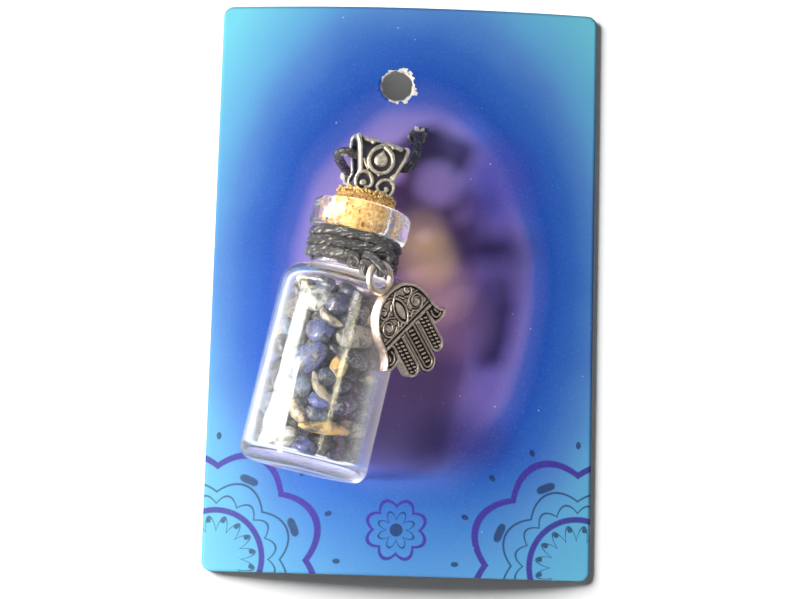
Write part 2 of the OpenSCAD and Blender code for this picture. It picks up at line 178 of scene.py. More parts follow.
# Places

def turned(points, degrees):
    """Points turned about Z."""
    a = np.radians(degrees)
    turn = np.array([[np.cos(a), -np.sin(a), 0], [np.sin(a), np.cos(a), 0], [0, 0, 1]])
    return np.asarray(points, float) @ turn.T


def points_of(x, y, z):
    """Points from the values of their coordinates, which may be arrays that fit each other."""
    return np.stack(np.broadcast_arrays(x, y, z), -1).reshape(-1, 3)


def around(r, a, z):
    """Points round the Z axis: a radius, an angle from the front in radians and a height."""
    return points_of(r * np.sin(a), -r * np.cos(a), z)


def full_turn(steps):
    """Angles spread evenly over a turn, in radians."""
    return np.linspace(0, 2 * np.pi, steps, endpoint=False)


def on_bottle(points):
    """From a piece drawn standing at the bottle's base, front to -Y, to the place where the bottle lies."""
    a = np.radians(bottle_lean)
    sides = np.array([[np.cos(a), -np.sin(a), 0], [0, 0, -1], [np.sin(a), np.cos(a), 0]])
    return bottle_base + np.asarray(points, float) @ sides


def on_cork(points):
    """From a piece drawn on the bail's foot, front to -Y, to its place."""
    return on_bottle(turned(points, bail_turn) + [bail_right, -bail_forward, bail_z])


def on_ring(points):
    """From a piece drawn flat round the charm's ring, front to +Z, to its place."""
    x, y, z = turned(points, charm_turn).T
    stood = points_of(x, -z, y)
    return on_bottle(turned(stood + [-ring_left, -body_r - charm_gap, ring_z], charm_round))


def card_height(x):
    """Height of the card's underside above the surface."""
    return np.sqrt(arc_in ** 2 - x ** 2) - arc_in + card_arch


# Shapes

def unit(ways, least=0):
    """Directions at length 1; those shorter than least stay short."""
    return ways / np.maximum(np.linalg.norm(ways, axis=-1), least)[..., None]


def waves(points, size, seed, count=14):
    """Smooth random lumps, about as long as size, mostly between -1 and 1."""
    rng = np.random.default_rng(seed)
    pull = unit(rng.normal(size=(count, 3))) * (2 * np.pi / size * rng.uniform(0.6, 1.5, (count, 1)))
    phase = rng.uniform(0, 2 * np.pi, count)
    return np.sin(np.asarray(points) @ pull.T + phase).sum(1) / count ** 0.5


def smooth_step(s):
    """0 below 0 and 1 above 1, smooth in between."""
    s = np.clip(s, 0, 1)
    return s * s * (3 - 2 * s)


def arc(across, up, r, start, end, steps):
    """Points of an arc in an outline, from a start to an end angle in degrees."""
    a = np.radians(np.linspace(start, end, steps))
    return [(across + r * np.cos(t), up + r * np.sin(t)) for t in a]


def curve_through(points, steps, closed=False):
    """A smooth route through chosen points."""
    p = np.asarray(points, float)
    n = len(p)
    if closed:
        near = [p[(np.arange(n) + k) % n] for k in (-1, 0, 1, 2)]
    else:
        ends = np.concatenate([[2 * p[0] - p[1]], p, [2 * p[-1] - p[-2]]])
        near = [ends[k:n - 1 + k] for k in range(4)]
    a, b, c, d = [q[:, None, :] for q in near]
    s = (np.arange(steps) / steps)[None, :, None]
    route = b + 0.5 * s * (c - a + s * (2 * a - 5 * b + 4 * c - d + s * (3 * b - a - 3 * c + d)))
    route = route.reshape(-1, p.shape[1])
    return route if closed else np.concatenate([route, p[-1:]])


def even_route(route, step, closed=False):
    """The same route with its points a step apart."""
    line = np.concatenate([route, route[:1]]) if closed else route
    along = np.concatenate([[0], np.cumsum(np.linalg.norm(np.diff(line, axis=0), axis=1))])
    want = np.linspace(0, along[-1], max(int(round(along[-1] / step)), 3) + 1)
    even = np.stack([np.interp(want, along, line[:, k]) for k in range(line.shape[1])], 1)
    return even[:-1] if closed else even


def bezier(a, b, c, d, steps):
    """Points of a curve from a to d that is drawn towards b and c; d itself is left off."""
    s = (np.arange(steps) / steps)[:, None]
    a, b, c, d = [np.array(v, float) for v in (a, b, c, d)]
    return ((1 - s) ** 3 * a + 3 * (1 - s) ** 2 * s * b + 3 * (1 - s) * s ** 2 * c + s ** 3 * d).tolist()


def spiral(centre, r_out, r_in, start, sweep, steps):
    """Points of a curl that winds inwards from a start angle, in degrees."""
    s = np.linspace(0, 1, steps)
    r = r_out + (r_in - r_out) * s
    a = np.radians(start + sweep * s)
    return np.stack([centre[0] + r * np.cos(a), centre[1] + r * np.sin(a)], 1).tolist()


def mirrored(line):
    """The same line on the other side of the middle."""
    return [[-x, y] for x, y in line]


def grid_faces(rows, columns, close_rows=False, close_columns=False):
    """Four-sided faces of a grid of points, row by row."""
    i = np.arange(rows if close_rows else rows - 1)
    j = np.arange(columns if close_columns else columns - 1)
    i, j = np.meshgrid(i, j, indexing="ij")
    i, j = i.ravel(), j.ravel()
    down = (i + 1) % rows
    right = (j + 1) % columns
    return np.stack([i * columns + j, i * columns + right, down * columns + right, down * columns + j], 1)


def lathe(outline, steps):
    """A solid of revolution from an outline of (radius, height) that starts and ends on the axis."""
    ring = np.array(outline[1:-1])
    points = around(ring[:, :1], full_turn(steps), ring[:, 1:])
    n = len(points)
    points = np.concatenate([points, [[0, 0, outline[0][1]], [0, 0, outline[-1][1]]]])
    faces = grid_faces(len(ring), steps, close_columns=True).tolist()
    last = n - steps
    faces += [[n, (k + 1) % steps, k] for k in range(steps)]
    faces += [[n + 1, last + k, last + (k + 1) % steps] for k in range(steps)]
    return points, faces


def ico_ball(level):
    """Points and faces of a ball of radius 1."""
    bm = bmesh.new()
    bmesh.ops.create_icosphere(bm, subdivisions=level, radius=1)
    points = np.array([v.co[:] for v in bm.verts])
    faces = np.array([[v.index for v in f.verts] for f in bm.faces])
    bm.free()
    return points, faces


def cord_mesh(route, r, sides=24, closed=False, braid=0.07):
    """A waxed cord along a route: strands that wind round it, and the run of its fibres at each point."""
    n = len(route)
    ahead = unit(np.roll(route, -1, 0) - np.roll(route, 1, 0) if closed else np.gradient(route, axis=0))
    side = np.cross(ahead[0], [0.3, 0.5, 0.8])
    frames = []
    for t in ahead:
        side = side - t * (side @ t)
        side /= np.linalg.norm(side)
        frames.append((side, np.cross(t, side)))
    u, v = [np.array(f) for f in zip(*frames)]
    twist = 0.0
    if closed:
        back = u[-1] - ahead[0] * (u[-1] @ ahead[0])
        twist = np.arctan2(back @ v[0], back @ u[0])
    length = np.cumsum(np.linalg.norm(np.diff(route, axis=0, prepend=route[:1]), axis=1))
    a = full_turn(sides)[None, :] - (twist * np.arange(n) / n)[:, None]
    turns = length[:, None] * 2 * np.pi / strand_pitch
    strands = np.cos(3 * a + turns) * np.cos(3 * a - turns)
    lay = a + 0.5 * length[:, None]
    fibre = points_of(0.3 * length[:, None], np.cos(lay), np.sin(lay))
    rough = waves(fibre, 0.9, 7).reshape(a.shape)
    slow = waves(points_of(length, 0, 0), 2.5, 9)
    radius = r * (1 - braid + braid * strands) * (1 + 0.06 * rough + 0.04 * slow[:, None])
    out = np.cos(a)[..., None] * u[:, None] + np.sin(a)[..., None] * v[:, None]
    points = (route[:, None] + radius[..., None] * out).reshape(-1, 3)
    faces = grid_faces(n, sides, close_rows=closed, close_columns=True).tolist()
    if not closed:
        faces.append(list(range(sides))[::-1])
        faces.append([(n - 1) * sides + k for k in range(sides)])
    return points, faces, fibre


def distance_to_line(x, y, line):
    """Distance from points of a plane to a line of joined points."""
    least = np.full(np.shape(x), 1e9)
    for (ax, ay), (bx, by) in zip(line[:-1], line[1:]):
        dx, dy = bx - ax, by - ay
        s = np.clip(((x - ax) * dx + (y - ay) * dy) / (dx * dx + dy * dy), 0, 1)
        least = np.minimum(least, np.hypot(x - ax - s * dx, y - ay - s * dy))
    return least


def distance_to_shape(x, y, outline):
    """Distance to a closed outline, negative inside it."""
    inside = np.zeros(np.shape(x), bool)
    closed = list(outline) + [outline[0]]
    for (ax, ay), (bx, by) in zip(closed[:-1], closed[1:]):
        if ay != by:
            inside ^= ((ay > y) != (by > y)) & (x < (bx - ax) * (y - ay) / (by - ay) + ax)
    least = distance_to_line(x, y, closed)
    return np.where(inside, -least, least)


def slope(distance, x, y, step):
    """How a distance changes along X and along Y, over two steps."""
    return (distance(x + step, y) - distance(x - step, y), distance(x, y + step) - distance(x, y - step))


def cut_sheet(distance, low, high, step):
    """A flat grid trimmed to a shape that is given by its signed distance.

    Returns its points, its faces and the directed edges of its rim.
    """
    xs, ys = [np.linspace(a, b, int(round((b - a) / step)) + 1) for a, b in zip(low, high)]
    y, x = np.meshgrid(ys, xs, indexing="ij")
    d = distance(x, y)
    middle = (d[:-1, :-1] + d[1:, :-1] + d[:-1, 1:] + d[1:, 1:]) / 4
    faces = grid_faces(len(ys), len(xs))[middle.ravel() < 0]
    edges = np.concatenate([faces[:, [k, (k + 1) % 4]] for k in range(4)]).tolist()
    keys = set(map(tuple, edges))
    rim = np.array([e for e in edges if (e[1], e[0]) not in keys])
    x, y = x.ravel().copy(), y.ravel().copy()
    at = np.unique(rim)
    tiny = step * 0.05
    for _ in range(3):
        gap = distance(x[at], y[at])
        slope_x, slope_y = [way / (2 * tiny) for way in slope(distance, x[at], y[at], tiny)]
        size = np.maximum(slope_x ** 2 + slope_y ** 2, 0.2)
        x[at] -= gap * slope_x / size
        y[at] -= gap * slope_y / size
    used, places = np.unique(faces, return_inverse=True)
    back = {int(k): i for i, k in enumerate(used)}
    rim = np.array([[back[a], back[b]] for a, b in rim.tolist()])
    return np.stack([x[used], y[used]], 1), places.reshape(faces.shape), rim


def join_parts(parts):
    """Points and faces of several shapes as one shape."""
    faces = []
    start = 0
    for p, f in parts:
        rows = f.tolist() if isinstance(f, np.ndarray) else f
        faces += [[k + start for k in row] for row in rows]
        start += len(p)
    return np.concatenate([p for p, _ in parts]), faces


def add_piece(name, shape, node, materials, tones=None):
    """A mesh that stands for a CAD node, with named values at its points for its materials."""
    points, faces = shape
    mesh = bpy.data.meshes.new(name)
    mesh.from_pydata((points * MM).tolist(), [], faces)
    mesh.update()
    mesh.polygons.foreach_set("use_smooth", [True] * len(mesh.polygons))
    for key, values in (tones or {}).items():
        values = np.asarray(values, np.float32)
        kind, field = ("FLOAT", "value") if values.ndim == 1 else ("FLOAT_COLOR", "color")
        if values.ndim == 2:
            values = np.concatenate([values, np.ones((len(values), 1), np.float32)], 1)
        mesh.attributes.new(key, kind, "POINT").data.foreach_set(field, values.ravel())
    piece = bpy.data.objects.new(name, mesh)
    bpy.context.scene.collection.objects.link(piece)
    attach(piece, "root")
    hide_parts(node)
    for material in materials:
        mesh.materials.append(material)
    return piece


# Materials

class Field:
    """A value worked out by a material's nodes; its operators add Math nodes."""

    def __init__(self, graph, socket):
        self.graph = graph
        self.socket = socket

    def __rsub__(self, other):
        return self.graph.math("SUBTRACT", other, self)

    def between(self, low, high):
        """0 below low and 1 above high, smooth in between."""
        return self.graph.node("ShaderNodeMapRange", "Result", {
            "Value": self, "From Min": low, "From Max": high}, interpolation_type="SMOOTHSTEP")


def math_method(kind):
    """A method of Field that adds a Math node of a kind."""
    return lambda self, other=None: self.graph.math(kind, self, other)


for method, kind in {"__add__": "ADD", "__radd__": "ADD", "__sub__": "SUBTRACT", "__mul__": "MULTIPLY",
                     "__rmul__": "MULTIPLY", "__truediv__": "DIVIDE", "__pow__": "POWER",
                     "__abs__": "ABSOLUTE", "sin": "SINE", "least": "MINIMUM", "most": "MAXIMUM"}.items():
    setattr(Field, method, math_method(kind))


class Graph:
    """A material's node tree, with short calls for what the materials here are made of."""

    def __init__(self, name, **values):
        self.material = bpy.data.materials.new(name)
        self.material.use_nodes = True
        self.tree = self.material.node_tree
        self.shader = self.tree.nodes["Principled BSDF"]
        self.here = None
        self.set(**values)

    def put(self, socket, value):
        """Links a Field to a socket, or sets it to a plain value."""
        if isinstance(value, Field):
            self.tree.links.new(value.socket, socket)
        elif isinstance(value, tuple) and socket.type == "RGBA" and len(value) == 3:
            socket.default_value = (*value, 1)
        else:
            socket.default_value = value

    def set(self, **values):
        """Sets the shader's sockets: Base_Color stands for Base Color."""
        for name, value in values.items():
            self.put(self.shader.inputs[name.replace("_", " ")], value)

    def node(self, kind, output, inputs=None, **settings):
        """Adds a node and gives one of its outputs."""
        node = self.tree.nodes.new(kind)
        for name, value in settings.items():
            setattr(node, name, value)
        for name, value in (inputs or {}).items():
            self.put(node.inputs[name], value)
        return Field(self, node.outputs[output])

    def math(self, kind, a, b=None):
        """Works on one or two values, which may be Fields or numbers."""
        return self.node("ShaderNodeMath", "Value", {0: a} if b is None else {0: a, 1: b}, operation=kind)

    def place(self):
        """Where a point lies, as a vector in millimetres."""
        if not self.here:
            spot = self.node("ShaderNodeTexCoord", "Object")
            self.here = self.node("ShaderNodeVectorMath", "Vector", {0: spot, "Scale": 1 / MM},
                                  operation="SCALE")
        return self.here

    def noise(self, size, detail=2.0, rough=0.5, at=None, stretch=0.0):
        """Noise whose lumps are about size millimetres long."""
        return self.node("ShaderNodeTexNoise", "Fac", {
            "Vector": at or self.place(), "Scale": 1 / size, "Detail": detail, "Roughness": rough,
            "Distortion": stretch})

    def cells(self, size):
        """Distance to the nearest of points strewn about size millimetres apart."""
        return self.node("ShaderNodeTexVoronoi", "Distance", {"Vector": self.place(), "Scale": 1 / size})

    def tone(self, name, output="Fac"):
        """A value that the mesh carries at its points."""
        return self.node("ShaderNodeAttribute", output, attribute_name=name)

    def mix(self, share, a, b):
        """A colour between a, where share is 0, and b, where it is 1."""
        return self.node("ShaderNodeMix", 2, {"Factor": share, 6: a, 7: b}, data_type="RGBA")

    def ramp(self, share, stops):
        """A colour from a list of places between 0 and 1, each with its colour."""
        made = self.node("ShaderNodeValToRGB", "Color", {"Fac": share})
        bar = made.socket.node.color_ramp
        while len(bar.elements) < len(stops):
            bar.elements.new(0.5)
        for spot, (where, colour) in zip(bar.elements, stops):
            spot.position = where
            spot.color = (*colour, 1)
        return made

    def bump(self, height, depth):
        """Bump whose height 1 stands depth millimetres high."""
        self.set(Normal=self.node("ShaderNodeBump", "Normal", {"Height": height, "Distance": depth * MM,
                                                               "Strength": 1.0}))


# Camera, with its turns about X, Y and Z in degrees
view_place = (1.0, -48.4, 312.2)
view_turns = (8.5, 0.274, 1.6125)
view_lens = 90.11
view_sensor = 36
view_near = 10


def add_camera():
    """The camera that took the photograph, as far as it could be worked out."""
    data = bpy.data.cameras.new("view")
    data.sensor_width = view_sensor
    data.lens = view_lens
    data.clip_start = view_near * MM
    camera = bpy.data.objects.new("view", data)
    camera.location = np.array(view_place) * MM
    camera.rotation_mode = "ZXY"
    camera.rotation_euler = np.radians(view_turns)
    bpy.context.scene.collection.objects.link(camera)
    bpy.context.scene.camera = camera


# Cords

def cord_material():
    """Black waxed cotton: fine fibres along the cord, rubbed grey where the wax is worn."""
    g = Graph("waxed_cord", Coat_Weight=0.35, Coat_Roughness=0.28)
    strand = g.noise(0.42, 3, 0.65, at=g.tone("fibre", "Color"))
    fluff = g.noise(0.25, 3, 0.75)
    wax = g.noise(0.7, 2, 0.6)
    dark = g.mix(fluff, (0.006, 0.006, 0.009), (0.15, 0.15, 0.16))
    worn = strand.between(0.5, 0.64) * wax.between(0.38, 0.58)
    g.set(Base_Color=g.mix(worn * 0.85, dark, (0.75, 0.73, 0.68)), Roughness=0.75 - wax * 0.45)
    g.bump(strand * 0.8 + fluff * 0.9, 0.42)
    return g.material


def add_cord_piece(name, node, material, *cords):
    """A piece of one or more cords, which carries the run of their fibres."""
    fibre = np.concatenate([cord[2] for cord in cords])
    add_piece(name, join_parts([cord[:2] for cord in cords]), node, [material], {"fibre": fibre})


def wrap_height(a):
    """Height of the neck's cord at an angle in degrees: level turns, each with a step down at its end."""
    turn = np.floor(a / 360)
    part = (a - turn * 360 - 360 + wrap_step) / wrap_step
    return wrap_top - wrap_pitch * (turn + smooth_step(part))


def knot_route(middle, turn):
    """A trefoil knot pulled tight round a point."""
    t = full_turn(90)
    across = np.sin(t) + 2 * np.sin(2 * t)
    up = np.cos(t) - 2 * np.cos(2 * t)
    knot = points_of(-1.3 * np.sin(3 * t), across, up) / 3
    return np.asarray(middle) + turned(knot * knot_size, turn)


def add_cords():
    """The cord round the neck, the charm's tie with its knots and the loop that hangs the bail."""
    black = cord_material()
    a = np.linspace(0, 360 * wrap_turns - wrap_step, 900)
    wrap = around(wrap_r, np.radians(a + wrap_back), wrap_height(a))
    wrap = even_route(on_bottle(wrap), 0.11)
    add_cord_piece("neck_cord", "neck_wrap", black, cord_mesh(wrap, cord_r * 1.12, 28, braid=0.06))

    lip = np.array([0, 0, lip_z])
    loop = on_bottle(curve_through(tie_loop + lip, 10, True))
    cords = [cord_mesh(even_route(loop, 0.1, True), tie_r * 1.08, 22, True)]
    for k, knot in enumerate(tie_knots):
        route = on_bottle(knot_route(knot + lip, 40 * k))
        cords.append(cord_mesh(even_route(route, 0.11, True), knot_cord_r, 18, True))
    add_cord_piece("tie_cord", "charm_tie", black, *cords)

    route = even_route(curve_through(hang_route, 10, True), 0.12, True)
    add_cord_piece("hanging_cord", "hang_cord", black, cord_mesh(route, cord_r, closed=True))


# Card

def ragged(x, y, hole):
    """Distance to a hole with a torn edge, negative in the card round it."""
    turn = np.arctan2(y - hole.centre[1], x - hole.centre[0])
    tear = waves(points_of(np.cos(turn), np.sin(turn), 0), 0.5, hole.seed).reshape(np.shape(x))
    return hole.r + hole.tear * tear - np.hypot(x - hole.centre[0], y - hole.centre[1])


def card_edge(x, y):
    """Signed distance to the card with its round corners and its holes."""
    across = np.abs(x) - card_w / 2 + card_corner
    up = np.abs(y) - card_h / 2 + card_corner
    rim = np.hypot(np.maximum(across, 0), np.maximum(up, 0)) + np.minimum(np.maximum(across, up), 0)
    rim -= card_corner
    for hole in holes:
        rim = np.maximum(rim, ragged(x, y, hole))
    return rim


def torn_ring(g, x, y, hole):
    """1 on the white board that shows where a hole's edge is torn, wider on one side."""
    dx = x - hole.centre[0]
    dy = y - hole.centre[1]
    away = (dx * dx + dy * dy) ** 0.5
    lean = (dx * hole.lean[0] + dy * hole.lean[1]) / away
    shreds = g.noise(1.5, 2, 0.6).between(0.36, 0.62)
    reach = shreds * (lean * 0.5 + 0.6) * hole.ring
    return 1 - (away - hole.r - reach).between(0.0, 0.1)


def oval(x, y, centre, size):
    """Distance from a centre, as a share of an oval's half sizes."""
    return (((x - centre[0]) / size[0]) ** 2 + ((y - centre[1]) / size[1]) ** 2) ** 0.5


ink_soft = 0.12


def drawn(d, width):
    """1 on a line of a given width round d = 0."""
    return 1 - abs(d).between(width / 2 - ink_soft, width / 2 + ink_soft)


def dot(across, along, low, high):
    """1 on a dot round the place where both distances are 0."""
    return 1 - ((across ** 2 + along ** 2) ** 0.5).between(low, high)


def polar(g, dx, dy):
    """Distance and angle of a point from its offsets."""
    return (dx * dx + dy * dy) ** 0.5, g.math("ARCTAN2", dy, dx)


def fan(g, x, y, corner, facing):
    """A quarter rosette in a lower corner: its broad lines, and its fine lines and dots."""
    r, turn = polar(g, (x - corner[0]) * facing, y - corner[1])
    petals = abs((turn * 4).sin())
    spokes = abs((turn * 8).sin())
    broad = drawn(r - petals * 2.6 - 14.2, 1.1).most(drawn(r - 7.4, 0.9))
    fine = drawn(r - petals * 1.9 - 10.2, 0.34)
    fine = fine.most(drawn(r - spokes * 1.3 - 8.4, 0.3))
    fine = fine.most(drawn(r - abs((turn * 8 + 0.2).sin()) * 2.2 - 4.2, 0.34))
    dots = dot(r - 13.1, (1 - petals) * 6, 0.5, 0.75).most(dot(r - 18.9, spokes * 3.5, 0.45, 0.7))
    return broad, fine.most(dots).most(dot(r - 5.9, (1 - spokes) * 3, 0.3, 0.5))


def rosette(g, x, y, centre):
    """A small flower at the card's foot: its broad line, and its fine line and core."""
    r, turn = polar(g, x - centre[0], y - centre[1])
    petals = abs((turn * 4).sin())
    return (drawn(r - petals * 1.1 - 3.6, 0.55),
            drawn(r - petals * 1.4 - 1.5, 0.3).most(1 - r.between(0.9, 1.1)))


def print_material():
    """The card's printed face: a violet glow on blue that pales to cyan at the corners, with ornaments and
    painted shade.
    """
    g = Graph("card_print", Roughness=0.45, Specular_IOR_Level=0.25)
    split = g.node("ShaderNodeSeparateXYZ", "X", {0: g.place()}).socket.node
    x, y = [Field(g, split.outputs[k]) for k in "XY"]
    glow = oval(x, y, (1, -0.5), (18, 27.5)) + (g.noise(9, 1, 0.4) - 0.5) * 0.12
    tint = g.ramp(glow.least(2.4) / 2.4, [
        (0.0, (0.36, 0.19, 0.52)), (0.25, (0.33, 0.20, 0.58)), (0.375, (0.29, 0.235, 0.66)),
        (0.417, (0.22, 0.20, 0.65)), (0.458, (0.06, 0.115, 0.57)), (0.52, (0.015, 0.095, 0.55)),
        (0.604, (0.035, 0.15, 0.63)), (0.69, (0.09, 0.27, 0.74)), (0.77, (0.13, 0.45, 0.86)),
        (0.94, (0.19, 0.72, 0.97))])
    # painted shade: the right part of the violet oval is darkened in the print's colour
    painted_shade_right = (x - 5).between(0, 9) * (1 - glow.between(0.88, 1.12))
    tint = g.mix(painted_shade_right * 0.85, tint, (0.12, 0.09, 0.44))
    # painted shade: a darker patch at the upper right, and the bottle's shadow painted beside its base, mixed
    # into the print's colour
    for centre, size, low, high, share, colour in (
            ((15, 17), (8, 9), 0.2, 1.1, 0.6, (0.05, 0.065, 0.50)),
            ((10, -24), (9, 6.5), 0.1, 1.2, 0.75, (0.03, 0.022, 0.20))):
        painted_shade_pool = 1 - oval(x, y, centre, size).between(low, high)
        tint = g.mix(painted_shade_pool * share, tint, colour)
    foot = (y * -1 - 24).between(0, 20)
    tint = g.mix(foot * 0.4, tint, (0.12, 0.46, 0.92))
    right, low = card_w / 2 - 2, -card_h / 2 + 2
    ornaments = [fan(g, x, y, (right, low), -1), fan(g, x, y, (-right, low), 1), rosette(g, x, y, (0, -38))]
    broad, fine = [a.most(b).most(c) for a, b, c in zip(*ornaments)]
    tint = g.mix(broad * 0.92, tint, (0.06, 0.03, 0.38))
    tint = g.mix(fine * 0.8, tint, (0.015, 0.03, 0.12))
    grain = g.noise(0.35, 2, 0.6)
    tint = g.mix((grain - 0.5) * 0.16, tint, (0.75, 0.85, 1.0))
    rings = [torn_ring(g, x, y, hole) for hole in holes]
    torn = rings[0].most(rings[1]).most(rings[2])
    specks = (1 - g.cells(2.6).between(0.03, 0.05)) * g.noise(7, 1).between(0.5, 0.6)
    g.set(Base_Color=g.mix(torn.most(specks * 0.7), tint, (0.85, 0.87, 0.90)))
    g.bump(g.noise(0.5, 3, 0.6), 0.01)
    return g.material


def board_material():
    """The card's back, its edges and the torn shreds: white pulp."""
    g = Graph("card_board", Roughness=0.8)
    pulp = g.noise(0.5, 4, 0.65)
    g.set(Base_Color=g.mix(pulp, (0.72, 0.71, 0.68), (0.88, 0.87, 0.85)))
    g.bump(pulp, 0.03)
    return g.material


def torn_shreds(hole, seed):
    """Slivers of board that stand up round a torn hole, each a thin curled blade."""
    rng = np.random.default_rng(seed)
    parts = []
    rows, columns, thick = 8, 5, 0.09
    s = np.linspace(0, 1, rows)[:, None]
    t = np.linspace(-1, 1, columns)[None, :]
    for k in range(hole.shreds):
        a = (k + rng.uniform(-0.35, 0.35)) * 2 * np.pi / hole.shreds
        reach = hole.long * rng.uniform(0.45, 1.0)
        wide = rng.uniform(0.25, 0.6)
        curl = rng.uniform(0.2, 0.9)
        half = wide * (1 - s ** 1.6 * 0.9) * (1 + 0.25 * np.sin(9 * s + k))
        out = hole.r - 0.12 + reach * s * (0.35 + 0.5 * curl * s)
        up = reach * s * (1 - 0.35 * curl * s)
        across = half * t + 0.15 * s * np.sin(k)
        x = hole.centre[0] + out * np.cos(a) - across * np.sin(a)
        y = hole.centre[1] + out * np.sin(a) + across * np.cos(a)
        top = points_of(x, y, card_height(x) + card_t - 0.15 + up + 0.06 * t ** 2)
        below = top - [thick * np.cos(a) * 0.7, thick * np.sin(a) * 0.7, thick * 0.7]
        sheet = grid_faces(rows, columns)
        rim = np.concatenate([np.arange(columns), np.arange(1, rows) * columns + columns - 1,
                              (rows - 1) * columns + np.arange(columns - 2, -1, -1),
                              np.arange(rows - 2, 0, -1) * columns])
        after = np.roll(rim, -1)
        n = rows * columns
        walls = np.stack([rim, rim + n, after + n, after], 1)
        parts.append((np.concatenate([top, below]), np.concatenate([sheet, sheet[:, ::-1] + n, walls])))
    return parts


def add_card():
    """The arched board with its torn holes; its first material is the print on its face."""
    step = 0.5
    reach = np.array([card_w, card_h]) / 2 + step
    flat, faces, rim = cut_sheet(card_edge, -reach, reach, step)
    n = len(flat)
    x, y = flat.T
    low = card_height(x)
    torn = np.zeros(n)
    for hole in holes:
        gap = np.hypot(x - hole.centre[0], y - hole.centre[1]) - hole.r
        torn = np.maximum(torn, 1 - smooth_step(gap / hole.parting))
    lift = torn * np.clip(0.12 + 0.16 * waves(points_of(x, y, 0), 1.1, 5), 0, 0.35)
    top = points_of(x, y, low + card_t - 0.02 + lift)
    bottom = points_of(x, y, low)
    a, b = rim[:, 0], rim[:, 1]
    walls = np.stack([a, a + n, b + n, b], 1)
    parts = [(np.concatenate([top, bottom]), np.concatenate([faces, faces[:, ::-1] + n, walls]))]
    for k, hole in enumerate(holes):
        parts += torn_shreds(hole, 60 + k)
    shape = join_parts(parts)
    piece = add_piece("display_card", shape, "card", [print_material(), board_material()])
    index = np.ones(len(shape[1]), np.int32)
    index[:len(faces)] = 0
    piece.data.polygons.foreach_set("material_index", index)
    piece.data.update()


# Glass

def glass_material():
    """Clear glass whose shadow is light in the middle and darker where the wall is seen on edge."""
    g = Graph("clear_glass", Base_Color=(1.0, 1.0, 1.0), Roughness=0.1, IOR=1.47, Sheen_Weight=0.4,
              Sheen_Roughness=0.3, Transmission_Weight=0.99)
    g.bump(g.noise(7, 2, 0.5), 0.1)
    slant = g.node("ShaderNodeLayerWeight", "Facing", {"Blend": 0.5})
    tint = g.ramp(slant, [(0.0, (0.92, 0.94, 0.94)), (0.3, (0.86, 0.87, 0.88)), (0.55, (0.55, 0.50, 0.56)),
                          (1.0, (0.25, 0.21, 0.27))])
    shadow = g.node("ShaderNodeBsdfTransparent", "BSDF", {"Color": tint})
    both = g.node("ShaderNodeMixShader", "Shader", {0: g.node("ShaderNodeLightPath", "Is Shadow Ray"),
                                                    1: Field(g, g.shader.outputs["BSDF"]), 2: shadow})
    g.put(g.tree.nodes["Material Output"].inputs["Surface"], both)
    return g.material


def add_bottle():
    """The bottle's glass, turned from one outline: up the outside and down the inside."""
    outline = [(0, base_dent)]
    outline += [p for p in arc(0, base_dent - dent_r, dent_r, 90, 77.5, 10)[1:] if p[1] > 0.01]
    outline += arc(body_r - base_round, base_round, base_round, -90, 0, 10)
    outline += [(body_r, z) for z in np.linspace(base_round, body_len - shoulder_round, 28)[1:-1]]
    outline += arc(body_r - shoulder_round, body_len - shoulder_round, shoulder_round, 0, 90, 16)
    outline += arc(neck_r + neck_fillet, body_len + neck_fillet, neck_fillet, 270, 180, 8)
    outline += [(neck_r, lip_z - 0.02)]
    outline += arc(lip_r - lip_round, lip_z + lip_round, lip_round, -90, 0, 9)
    outline += arc(lip_r - lip_round, mouth_z - lip_round, lip_round, 0, 90, 9)
    outline += arc(bore_r + mouth_round, mouth_z - mouth_round, mouth_round, 90, 180, 6)
    outline += [(bore_r, z) for z in np.linspace(mouth_z - 1, inner_top + inner_neck, 8)]
    outline += arc(bore_r + inner_neck, inner_top + inner_neck, inner_neck, 180, 270, 6)
    outline += arc(inner_r - inner_shoulder, inner_top - inner_shoulder, inner_shoulder, 90, 0, 12)
    wall_top, wall_low = inner_top - inner_shoulder, glass_base + inner_base
    outline += [(inner_r, z) for z in np.linspace(wall_top, wall_low, 26)[1:-1]]
    outline += arc(inner_r - inner_base, glass_base + inner_base, inner_base, 0, -90, 8)
    outline += [(r, glass_base) for r in (5, 2.5, 0)]
    points, faces = lathe(outline, 144)
    add_piece("glass_bottle", (on_bottle(points), faces), "bottle", [glass_material()])


# Stopper

def cork_material():
    """Crumbly brown cork with dark pores."""
    g = Graph("cork", Roughness=0.75)
    pores = g.cells(0.9)
    grain = g.noise(0.45, 4, 0.7)
    tint = g.ramp(grain, [(0.3, (0.24, 0.11, 0.03)), (0.5, (0.62, 0.36, 0.10)), (0.68, (0.88, 0.62, 0.24))])
    g.set(Base_Color=g.mix(1 - pores.between(0.1, 0.3), tint, (0.16, 0.07, 0.02)))
    g.bump(grain, 0.12)
    return g.material


def glue_material():
    """Grainy amber glue that lets a little light in."""
    g = Graph("amber_glue", Roughness=0.25, IOR=1.5, Coat_Weight=0.4, Coat_Roughness=0.15,
              Subsurface_Weight=0.3, Subsurface_Radius=(0.001, 0.0006, 0.0002))
    lumps = g.noise(0.4, 4, 0.7)
    g.set(Base_Color=g.ramp(lumps, [(0.3, (0.56, 0.30, 0.08)), (0.5, (0.78, 0.52, 0.20)),
                                    (0.68, (0.94, 0.80, 0.48))]))
    g.bump(lumps, 0.08)
    return g.material


def crumbs(count, seed, radii, heights, sizes):
    """Small rough grains strewn on a ring; radii, heights and sizes are from, to."""
    rng = np.random.default_rng(seed)
    ball, faces = ico_ball(2)
    parts = []
    for k in range(count):
        a = rng.uniform(0, 2 * np.pi)
        r = rng.uniform(*radii)
        middle = around(r, a, rng.uniform(*heights))
        size = rng.uniform(*sizes) * rng.uniform(0.6, 1, 3)
        shape = ball * (1 + 0.22 * waves(ball, 1.1, seed + k)[:, None])
        parts.append((turned(shape * size, rng.uniform(0, 360)) + middle, faces))
    return parts


